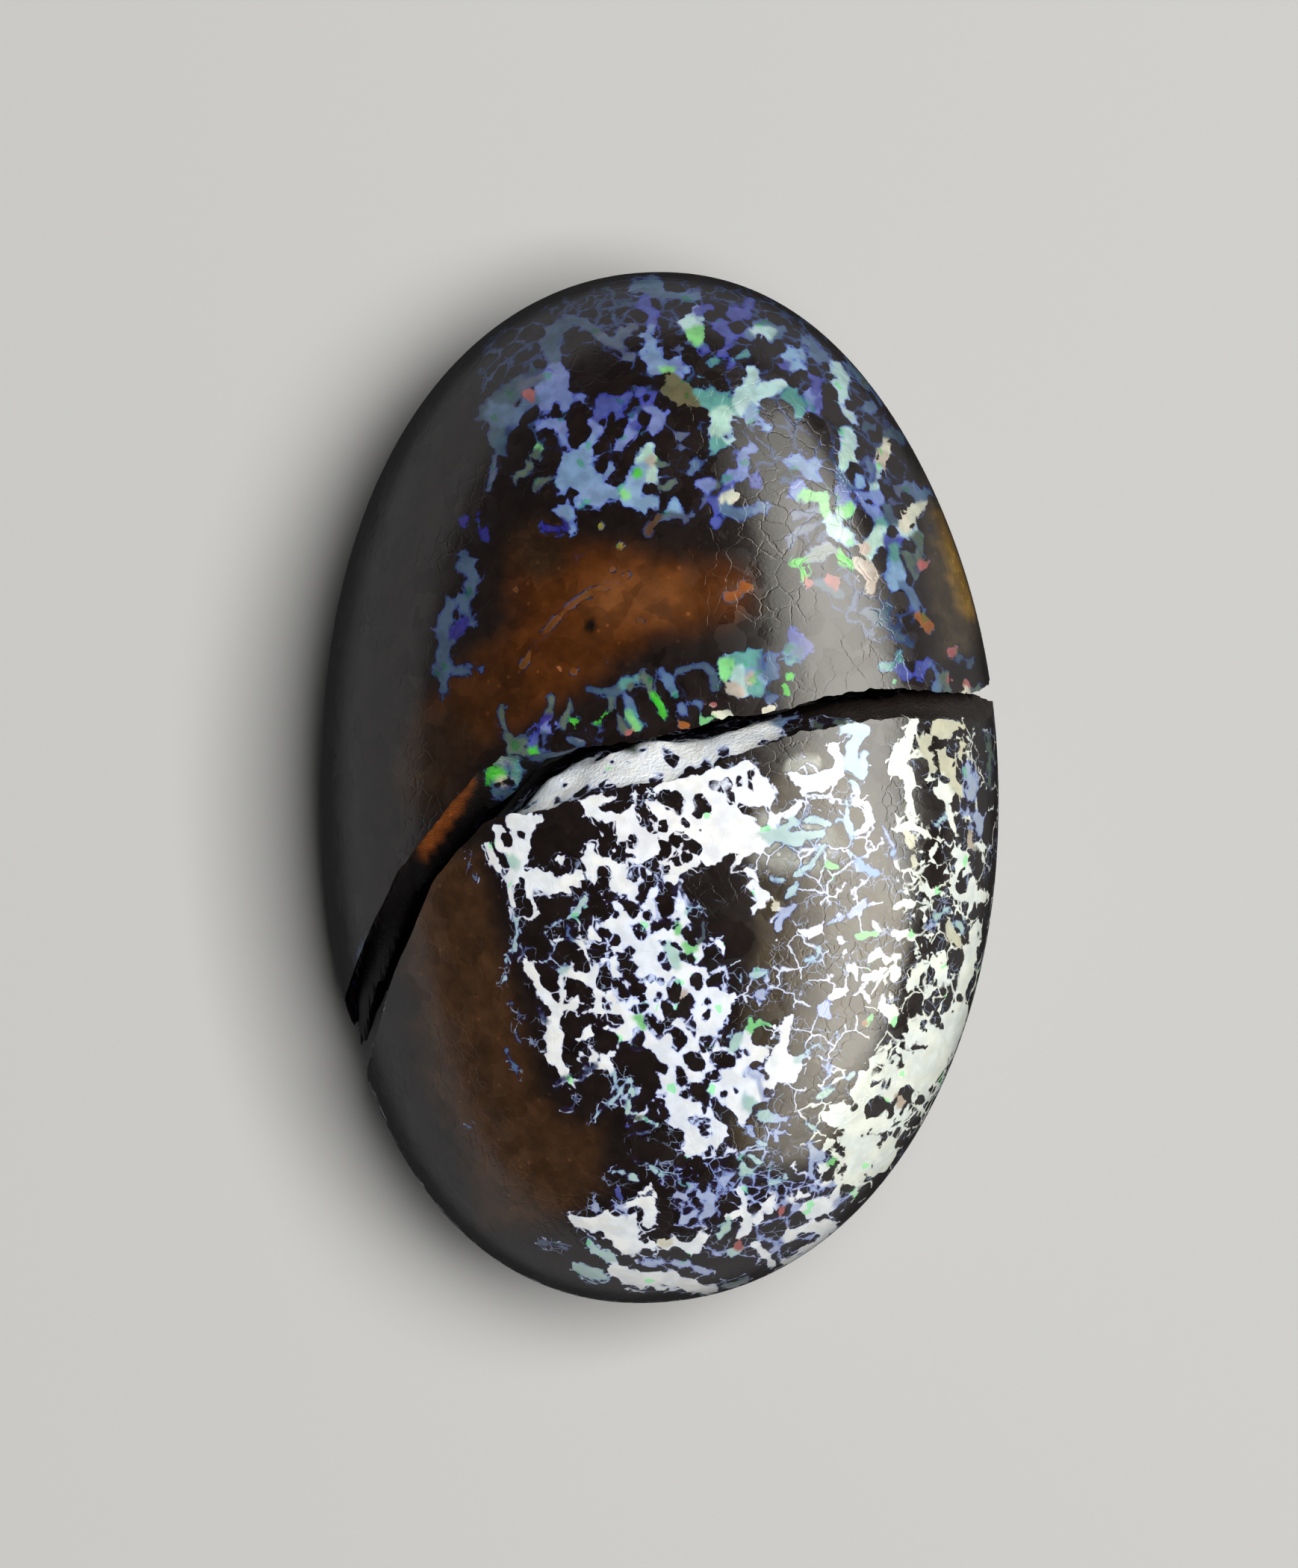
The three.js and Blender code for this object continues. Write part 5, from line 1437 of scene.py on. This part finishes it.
@dataclass(frozen=True)
class OpalFinish:
    """A polished or broken surface: grains of dark rock in a network of opal.

    Levels are in the drawing's pixels, and whatever is made up is sized in millimetres.
    """

    name: str
    edge_veil: Colour
    rock_edge_colour: Colour
    vein_colour: Colour

    # The network, and how its edges are roughened
    bends: tuple[tuple[Grain, float], ...] = ((Grain(1.2), 0.7), (Grain(5.0), 0.16))
    cells_per_mm: Span = (1.1, 1.6)
    close_grained: Patches = Patches(Grain(0.33), 0.44, 0.56)
    share: float = 0.3
    crackle_px: float = 18.0
    ragged: Grain = Grain(6.0, detail=3.0)
    ragged_px: float = 0.8
    facets_per_mm: float = 3.0
    faceted_px: float = 2.0
    rim_px: float = 0.7

    # Thin lines of opal between grains
    line_width: float = 0.05
    lined_px: Span = (-7.5, -5.0)
    lined: Patches = Patches(Grain(0.7), 0.4, 0.48)
    no_line_px: float = -9.0

    # The opal's colour
    clouds: Patches = Patches(Grain(1.5, detail=3.0), 0.35, 0.65)
    opal_spread: Span = (0.9, 1.06)
    drifts: Patches = Patches(Grain(0.9), 0.4, 0.6)
    drift_veil: Colour = (0.94, 0.97, 1.03)
    flecks_per_mm: float = 3.2
    fleck_share: float = 0.04
    fleck_strength: float = 0.7
    fleck_veil: Colour = (0.3, 1.1, 0.4)
    edge_px: float = 2.5
    edge_grain: Grain = Grain(2.2)
    edge_spread: Span = (0.2, 1.5)
    cool_span: Span = (-0.04, 0.0)

    # The rock's colour
    grains_per_mm: float = 1.2
    rock_spread: Span = (0.8, 1.25)
    mottles: Patches = Patches(Grain(1.4, detail=4.0, rough=0.6), 0.3, 0.7)
    mottle_spread: Span = (0.78, 1.22)
    specks_per_mm: float = 2.6
    speck_share: float = 0.16
    speck_edge: Span = (0.26, 0.12)
    speck_light: float = 0.9
    tinge_px: Span = (-2.5, 0.0)
    veins_per_mm: float = 1.9
    vein_width: float = 0.05
    vein_strength: float = 0.55
    veined_px: Span = (-8.0, -4.0)
    veined: Patches = Patches(Grain(0.8), 0.48, 0.56)

    # The polish and the relief
    opal_roughness: float = 0.13
    rock_roughness: Span = (0.15, 0.29)
    low_roughness: float = 0.25
    polish_from_mm: Span = (7.0, 10.5)
    pits: Grain = Grain(7.0, detail=4.0, rough=0.6)
    pit_height: float = 0.003
    groove_width: float = 0.09
    groove_height: float = 0.005
    grooved: Patches = Patches(Grain(0.4), 0.4, 0.6)
    ior: float = 1.46

    def material(self) -> bpy.types.Material:
        """Builds the material on Object coordinates and the drawing's attributes."""
        graph = Graph(self.name)
        at = graph.millimetres()
        bent = self.bend(graph, at)
        value = self.level(graph, at, bent)
        opal = graph.ease(value, -self.rim_px, self.rim_px)
        colour = graph.mix(opal, self.rock(graph, at, bent, value), self.opal(graph, at, value))
        return graph.surface(
            Base_Color=colour,
            Roughness=self.gloss(graph, at, bent, opal),
            IOR=self.ior,
            Normal=self.relief(graph, at, bent),
        )

    def gloss(self, graph: Graph, at: Socket, bent: Socket, opal: Socket) -> Socket:
        """The roughness: grains take less polish than opal, and the low flanks have hardly any."""
        height = graph.result("ShaderNodeSeparateXYZ", {0: at}, "Z")
        chance = graph.parts(graph.cells(bent, self.grains_per_mm).outputs["Color"])[1]
        rock = graph.blend(chance, *self.rock_roughness)
        polished = graph.blend(opal, rock, self.opal_roughness)
        return graph.blend(graph.ease(height, *self.polish_from_mm), self.low_roughness, polished)

    def bend(self, graph: Graph, at: Socket) -> Socket:
        """Object coordinates, pulled about so that grains are uneven."""
        bent = at
        for grain, pull in self.bends:
            turned = graph.vector("SUBTRACT", graph.noise(at, grain, "Color"), (MIDDLE,) * 3)
            bent = graph.vector("ADD", bent, graph.vector("SCALE", turned, pull))
        return bent

    def level(self, graph: Graph, at: Socket, bent: Socket) -> Socket:
        """The drawing's level, made ragged, with a made-up network where nothing is drawn."""
        wide, narrow = (graph.between_cells(bent, scale) for scale in self.cells_per_mm)
        border = graph.blend(graph.patches(at, self.close_grained), wide, narrow)
        crackle = graph.times(graph.less(self.share, border), self.crackle_px)
        crackle = graph.times(crackle, graph.attribute("free"))
        ragged = graph.times(graph.less(graph.noise(at, self.ragged), MIDDLE), self.ragged_px)
        chance = graph.parts(graph.cells(at, self.facets_per_mm).outputs["Color"])[0]
        faceted = graph.times(graph.less(chance, MIDDLE), self.faceted_px)
        value = graph.add(graph.attribute("level"), crackle)
        value = graph.add(graph.add(value, ragged), faceted)
        return graph.math("MAXIMUM", value, self.line(graph, at, wide))

    @staticmethod
    def near_network(graph: Graph, at: Socket, span: Span, where: Patches) -> Socket:
        """1 in those patches of rock that lie near the drawn network."""
        near = graph.ease(graph.attribute("level"), *span)
        return graph.times(near, graph.patches(at, where))

    def line(self, graph: Graph, at: Socket, border: Socket) -> Socket:
        """The level of the thin lines of opal between grains that lie near the network."""
        line = graph.times(graph.less(self.line_width, border), self.crackle_px)
        near = self.near_network(graph, at, self.lined_px, self.lined)
        return graph.blend(near, self.no_line_px, line)

    def opal(self, graph: Graph, at: Socket, value: Socket) -> Socket:
        """The opal's colour: its tint, uneven, with a darker edge and small flashes."""
        shade = graph.blend(graph.patches(at, self.clouds), *self.opal_spread)
        tint = graph.vector("SCALE", graph.attribute("tint", "Color"), shade)
        tint = graph.veiled(graph.patches(at, self.drifts), tint, self.drift_veil)
        chance = graph.parts(graph.cells(at, self.flecks_per_mm).outputs["Color"])[1]
        fleck = graph.times(graph.math("LESS_THAN", chance, self.fleck_share), self.fleck_strength)
        tint = graph.veiled(fleck, tint, self.fleck_veil)
        uneven = graph.blend(graph.noise(at, self.edge_grain), *self.edge_spread)
        inward = graph.ease(graph.math("DIVIDE", value, uneven), 0.0, self.edge_px)
        return graph.mix(inward, graph.veiled(self.cool(graph), tint, self.edge_veil), tint)

    def cool(self, graph: Graph) -> Socket:
        """1 where the drawn tint is white or bluer, and 0 where it is brown or orange."""
        red, _, blue = graph.parts(graph.attribute("tint", "Color"))
        return graph.ease(graph.less(blue, red), *self.cool_span)

    def rock(self, graph: Graph, at: Socket, bent: Socket, value: Socket) -> Socket:
        """The rock's colour: mottled grains, tinged where opal is near."""
        chance = graph.parts(graph.cells(bent, self.grains_per_mm).outputs["Color"])[0]
        mottle = graph.blend(graph.patches(at, self.mottles), *self.mottle_spread)
        shade = graph.times(graph.blend(chance, *self.rock_spread), mottle)
        shade = graph.add(shade, graph.times(self.speck(graph, at), self.speck_light))
        rock = graph.vector("SCALE", graph.attribute("rock", "Color"), shade)
        tinged = graph.times(graph.ease(value, *self.tinge_px), self.cool(graph))
        rock = graph.mix(tinged, rock, self.rock_edge_colour)
        vein = graph.ease(graph.between_cells(bent, self.veins_per_mm), self.vein_width, 0.0)
        near = self.near_network(graph, at, self.veined_px, self.veined)
        strength = graph.times(near, self.vein_strength)
        return graph.mix(graph.times(vein, strength), rock, self.vein_colour)

    def speck(self, graph: Graph, at: Socket) -> Socket:
        """1 on sparse bright specks of dust in the rock."""
        dust = graph.cells(at, self.specks_per_mm)
        chance = graph.parts(dust.outputs["Color"])[0]
        chosen = graph.math("LESS_THAN", chance, self.speck_share)
        return graph.times(chosen, graph.ease(dust.outputs["Distance"], *self.speck_edge))

    def relief(self, graph: Graph, at: Socket, bent: Socket) -> Socket:
        """Fine pits, and grooves between grains, that the polish or the break left."""
        pits = graph.times(graph.noise(at, self.pits), self.pit_height * MM)
        border = graph.between_cells(bent, self.cells_per_mm[1])
        groove = graph.ease(border, 0.0, self.groove_width)
        groove = graph.times(groove, graph.patches(at, self.grooved))
        groove = graph.times(groove, self.groove_height * MM)
        inputs = {"Height": graph.add(pits, groove), "Distance": 1.0, "Strength": 1.0}
        return graph.result("ShaderNodeBump", inputs)


@dataclass
class Half:
    """One half of the stone: its polished outside, its broken face and its flat base."""

    node: str
    slot: str
    side: Side
    stone: StoneForm
    cut: Break
    view: Viewpoint
    drawing: Drawing
    break_drawing: Drawing
    finish: OpalFinish
    break_finish: OpalFinish
    sphere_levels: int = 6
    spare: float = 6.0
    spare_turned: float = 12.0
    fine_above: tuple[float, ...] = (0.0, 0.1)
    drawn_above: float = 0.12
    drawn_past: float = 1.0
    drawn_px: float = 4.0
    drawn_faces: int = 26000
    free_weight: float = 100.0
    cut_within: float = 1e-6
    slice_within: float = 1e-5
    face_step: float = 0.3
    steep_step: float = 0.1
    steep_left_of: float = -6.3
    face_angle: float = math.radians(32)
    steep: Span = (0.05, 0.3)
    deep_mm: Span = (1.5, 3.5)

    def build(self) -> bpy.types.Object:
        """Models the half as one closed mesh and dresses it.

        Returns:
            The object, at the origin, in metres.
        """
        mesh = bmesh.new()
        bmesh.ops.create_icosphere(mesh, subdivisions=self.sphere_levels, radius=1.0)
        self.drop_far_side(mesh)
        for height in self.fine_above:
            self.refine(mesh, self.centres(mesh)[:, 2] > height)
        self.refine(mesh, self.drawn_edges(mesh))
        self.move(mesh, self.stone.polished(self.places(mesh)))
        self.open_break(mesh)
        self.close_break(mesh)
        bmesh.ops.triangulate(mesh, faces=[f for f in mesh.faces if len(f.verts) > 4])
        data = bpy.data.meshes.new(self.node + "_stone")
        mesh.to_mesh(data)
        self.draw(mesh, data)
        mesh.free()
        data.transform(Matrix.Scale(MM, 4))
        data.shade_smooth()
        data.set_sharp_from_angle(angle=self.face_angle)
        data.materials.append(self.finish.material())
        data.materials.append(self.break_finish.material())
        made = bpy.data.objects.new(self.node + "_stone", data)
        bpy.context.scene.collection.objects.link(made)
        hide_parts(self.node)
        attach(made, "root")
        triangles = sum(len(p.vertices) - 2 for p in data.polygons)
        log.info("%s: %d triangles", made.name, triangles)
        return made

    @staticmethod
    def places(mesh: bmesh.types.BMesh) -> Points:
        """The places of the mesh's vertices."""
        return np.array([v.co for v in mesh.verts])

    @staticmethod
    def centres(mesh: bmesh.types.BMesh) -> Points:
        """The middles of the mesh's faces."""
        return np.array([f.calc_center_median() for f in mesh.faces])

    @staticmethod
    def move(mesh: bmesh.types.BMesh, places: Points) -> None:
        """Puts the mesh's vertices at these places."""
        for vertex, place in zip(mesh.verts, places.tolist()):
            vertex.co = place

    def drop_far_side(self, mesh: bmesh.types.BMesh) -> None:
        """Deletes what is well past the break, to save work."""
        places = self.stone.polished(self.places(mesh))
        turned = places[:, 0] < self.cut.bow_turn_x
        spare = np.where(turned, self.spare_turned, self.spare)
        past = self.cut.past(places, self.side)
        far = [v for v, gone in zip(mesh.verts, past > spare) if gone]
        bmesh.ops.delete(mesh, geom=far, context="VERTS")

    @staticmethod
    def refine(mesh: bmesh.types.BMesh, chosen: Points) -> None:
        """Divides the chosen faces, keeping the mesh on the unit sphere."""
        edges = {e for f, wanted in zip(mesh.faces, chosen) if wanted for e in f.edges}
        bmesh.ops.subdivide_edges(mesh, edges=list(edges), cuts=1, use_grid_fill=True)
        bmesh.ops.triangulate(mesh, faces=[f for f in mesh.faces if len(f.verts) > 3])
        for vertex in mesh.verts:
            vertex.co.normalize()

    def drawn_edges(self, mesh: bmesh.types.BMesh) -> Points:
        """Chooses the faces where the drawing needs the finest mesh."""
        centres = self.centres(mesh)
        centres /= np.linalg.norm(centres, axis=1)[:, None]
        places = self.stone.polished(centres)
        painted = self.drawing.paint(self.view.pixels(places))
        made_up = painted["free"] - self.drawing.least_free
        urgency = np.abs(painted["level"]) + self.free_weight * made_up
        urgency[centres[:, 2] < self.drawn_above] = np.inf
        urgency[self.cut.past(places, self.side) > self.drawn_past] = np.inf
        limit = min(self.drawn_px, np.partition(urgency, self.drawn_faces)[self.drawn_faces])
        return urgency < limit

    def shear(self, mesh: bmesh.types.BMesh, direction: int) -> None:
        """Moves the broken face to the plane at Y 0 (direction -1), or back (1)."""
        places = self.places(mesh)
        places[:, 1] += direction * self.cut.face(places[:, 0], places[:, 2], self.side)
        self.move(mesh, places)

    def open_break(self, mesh: bmesh.types.BMesh) -> None:
        """Cuts the other half away along the break, which is left flattened to the plane at Y 0."""
        self.shear(mesh, -1)
        bmesh.ops.bisect_plane(
            mesh,
            geom=[*mesh.verts, *mesh.edges, *mesh.faces],
            dist=self.cut_within,
            plane_co=(0, 0, 0),
            plane_no=(0, -self.side.value, 0),
            clear_outer=True,
        )

    def close_break(self, mesh: bmesh.types.BMesh) -> None:
        """Fills the break with small faces and gives it back its form."""
        open_edges = [e for e in mesh.edges if e.is_boundary]
        filled = bmesh.ops.contextual_create(mesh, geom=open_edges)["faces"]
        for face in filled:
            face.material_index = BROKEN
        low, high = -self.stone.width / 2, self.stone.width / 2
        self.slice(mesh, (1, 0, 0), np.arange(low, self.steep_left_of, self.steep_step))
        self.slice(mesh, (1, 0, 0), np.arange(self.steep_left_of, high, self.face_step))
        self.slice(mesh, (0, 0, 1), np.arange(self.face_step, self.stone.height, self.face_step))
        mesh.normal_update()
        self.shear(mesh, 1)
        mesh.normal_update()

    def slice(self, mesh: bmesh.types.BMesh, normal: Spot, places: Points) -> None:
        """Cuts the broken face by planes square to an axis."""
        for place in places:
            faces = [f for f in mesh.faces if f.material_index == BROKEN]
            near = [f for f in faces if self.straddles(f, normal, place)]
            edges = {e for f in near for e in f.edges}
            verts = {v for f in near for v in f.verts}
            bmesh.ops.bisect_plane(
                mesh,
                geom=[*verts, *edges, *near],
                dist=self.slice_within,
                plane_co=tuple(place * part for part in normal),
                plane_no=normal,
            )

    @staticmethod
    def straddles(face: bmesh.types.BMFace, normal: Spot, place: float) -> bool:
        """True if a face has corners on both sides of a plane."""
        axis = 0 if normal[0] else 2
        at = [v.co[axis] for v in face.verts]
        return min(at) < place < max(at)

    def draw(self, mesh: bmesh.types.BMesh, data: bpy.types.Mesh) -> None:
        """Puts both drawings on the mesh, as attributes for the finishes.

        Args:
            mesh: the half in millimetres.
            data: the same mesh as it will be kept.
        """
        places = self.places(mesh)
        at = self.view.pixels(places)
        drawn = self.drawing.paint(at)
        on_break = self.break_drawing.paint(at)
        broken = np.array(
            [all(f.material_index == BROKEN for f in v.link_faces) for v in mesh.verts]
        )
        up = eased(np.array([v.normal.z for v in mesh.verts]), *self.steep)
        below = self.stone.top_height(places[:, 0], places[:, 1]) - places[:, 2]
        shallow = 1 - eased(below, *self.deep_mm)
        for name, values in drawn.items():
            plain = self.drawing.plain(name)
            break_plain = self.break_drawing.plain(name)
            shape = (-1, 1) if values.ndim == 2 else (-1,)
            outer = plain + (values - plain) * up.reshape(shape)
            inner = break_plain + (on_break[name] - break_plain) * shallow.reshape(shape)
            self.keep(data, name, np.where(broken.reshape(shape), inner, outer))

    @staticmethod
    def keep(data: bpy.types.Mesh, name: str, values: Points) -> None:
        """Stores one number or one colour for each vertex."""
        if values.ndim == 1:
            data.attributes.new(name, "FLOAT", "POINT").data.foreach_set("value", values)
            return
        colours = np.column_stack([values, np.ones(len(values))]).ravel()
        data.attributes.new(name, "FLOAT_COLOR", "POINT").data.foreach_set("color", colours)


@dataclass(frozen=True)
class Lamp:
    """A soft rectangular lamp to the right of the stone that points at it."""

    name: str
    height: float
    size: Place
    power: float
    distance: float = 0.6
    turn: float = math.radians(8)
    colour: Colour = (1.0, 0.99, 0.9)

    def build(self) -> bpy.types.Object:
        """Adds the lamp."""
        data = bpy.data.lights.new(self.name, "AREA")
        data.shape = "RECTANGLE"
        data.size, data.size_y = self.size
        data.energy = self.power
        data.color = self.colour
        lamp = bpy.data.objects.new(self.name, data)
        across = math.cos(self.height) * self.distance
        up = math.sin(self.height) * self.distance
        lamp.location = (across * math.cos(self.turn), across * math.sin(self.turn), up)
        lamp.rotation_euler = (-lamp.location).to_track_quat("-Z", "Y").to_euler()
        bpy.context.scene.collection.objects.link(lamp)
        return lamp


@dataclass(frozen=True)
class Studio:
    """The floor, the window light and the dim surroundings."""

    floor_colour: Colour = (0.45, 0.445, 0.43)
    floor_roughness: float = 0.9
    floor_half: float = 4.0
    room: tuple[Place, ...] = (
        (-1.0, 0.02), (-0.8, 0.06), (-0.6, 0.36), (-0.3, 0.5), (-0.03, 0.74), (0.05, 0.08),
        (0.6, 0.04),
    )
    overhead: Lamp = Lamp("overhead", height=math.radians(73.5), size=(0.3, 0.3), power=5.3,
                          colour=(1.0, 1.0, 1.0))
    window: Lamp = Lamp("window", height=math.radians(40), size=(1.0, 0.34), power=6.6, turn=0.0)
    glow: Lamp = Lamp("glow", height=math.radians(43), size=(1.9, 0.5), power=14.5, turn=0.0)

    def build(self) -> None:
        """Adds the floor and the light, with colours shown as they are."""
        bpy.context.scene.view_settings.view_transform = "Standard"
        self.make_floor()
        self.make_world()
        self.overhead.build().visible_glossy = False
        for lamp in (self.window, self.glow):
            lamp.build().visible_diffuse = False

    def make_floor(self) -> None:
        """A plain pale floor."""
        mesh = bmesh.new()
        bmesh.ops.create_grid(mesh, x_segments=1, y_segments=1, size=self.floor_half)
        data = bpy.data.meshes.new("floor")
        mesh.to_mesh(data)
        mesh.free()
        floor = bpy.data.objects.new("floor", data)
        bpy.context.scene.collection.objects.link(floor)
        graph = Graph("pale_floor")
        finish = graph.surface(
            Base_Color=self.floor_colour, Roughness=self.floor_roughness, Specular_IOR_Level=0.0
        )
        data.materials.append(finish)
        floor.visible_glossy = False

    def make_world(self) -> None:
        """A room that is dark overhead, with the pale floor that the polish reflects."""
        world = bpy.data.worlds.new("studio")
        world.use_nodes = True
        tree = world.node_tree
        direction = tree.nodes.new("ShaderNodeTexCoord")
        split = tree.nodes.new("ShaderNodeSeparateXYZ")
        share = tree.nodes.new("ShaderNodeMapRange")
        share.inputs["From Min"].default_value = -1.0
        tree.links.new(direction.outputs["Generated"], split.inputs[0])
        tree.links.new(split.outputs["Z"], share.inputs["Value"])
        shades = tree.nodes.new("ShaderNodeValToRGB")
        tree.links.new(share.outputs[0], shades.inputs[0])
        ramp = shades.color_ramp.elements
        ramp.remove(ramp[1])
        for height, light in self.room[1:]:
            ramp.new((height + 1) / 2).color = (light, light, light, 1.0)
        ramp[0].color = (self.room[0][1], self.room[0][1], self.room[0][1], 1.0)
        background = tree.nodes["Background"]
        tree.links.new(shades.outputs[0], background.inputs["Color"])
        bpy.context.scene.world = world


def make_halves(stone: StoneForm, view: Viewpoint) -> Iterable[Half]:
    """Describes both halves, each with its drawings and its finishes."""
    cut = Break(stone)
    upper = Drawing(
        -9.0,
        SLATE,
        BLACKISH,
        UPPER_ZONES,
        (*UPPER_NETWORK, *UPPER_GRAINS, *UPPER_FLANK, *UPPER_WISPS, *UPPER_SPECKS),
        grow=0.1,
        least_free=0.75,
    )
    upper_break = Drawing(-9.0, SLATE, BLACKISH, UPPER_BREAK_ZONES, UPPER_BREAK)
    lower = Drawing(
        -9.0,
        WHITE,
        BLACKISH,
        LOWER_ZONES,
        (*LOWER_LEFT, *LOWER_WHITE, *LOWER_GRAINS, *LOWER_MIDDLE, *LOWER_RIGHT, *LOWER_END),
        plain_level=-2.0,
        grow=-1.0,
        least_free=0.5,
    )
    # the lower broken face is drawn in a white brighter than white: painted light for a face that the
    # lamps light little
    lower_break = Drawing(6.0, PAINTED_LIGHT_WHITE, BLACKISH, LOWER_BREAK_ZONES, LOWER_BREAK)
    dark = OpalFinish(
        "dark_ironstone_opal",
        edge_veil=(0.55, 0.55, 1.08),
        edge_px=4.5,
        vein_colour=linear((60, 62, 110)),
        vein_strength=0.25,
        rock_edge_colour=linear((30, 25, 44)),
        opal_spread=(0.8, 1.12),
        drift_veil=(0.9, 1.0, 1.0),
        cells_per_mm=(0.85, 1.15),
    )
    pale = OpalFinish(
        "pale_opal_ironstone",
        edge_veil=(0.62, 0.7, 1.0),
        vein_colour=linear((160, 176, 212)),
        share=0.18,
        cells_per_mm=(0.9, 1.6),
        vein_width=0.06,
        vein_strength=0.7,
        fleck_share=0.015,
        line_width=0.04,
        rock_edge_colour=linear((40, 28, 62)),
    )
    rough = {"opal_roughness": 0.45, "rock_roughness": (0.5, 0.6), "pit_height": 0.06, "ior": 1.3}
    yield Half(
        "upper_half", "dark_ironstone_opal", Side.UPPER, stone, cut, view, upper, upper_break, dark,
        replace(dark, name="dark_ironstone_broken", **rough),
    )
    yield Half(
        "lower_half", "pale_opal_ironstone", Side.LOWER, stone, cut, view, lower, lower_break, pale,
        replace(pale, name="pale_opal_broken", **rough),
    )


def main() -> None:
    """Builds the stone, its finishes and the studio."""
    logging.basicConfig(level=logging.INFO)
    view = Viewpoint()
    view.make_camera()
    Studio().build()
    for half in make_halves(StoneForm(), view):
        half.build()


if __name__ in ("__main__", "<run_path>"):
    main()
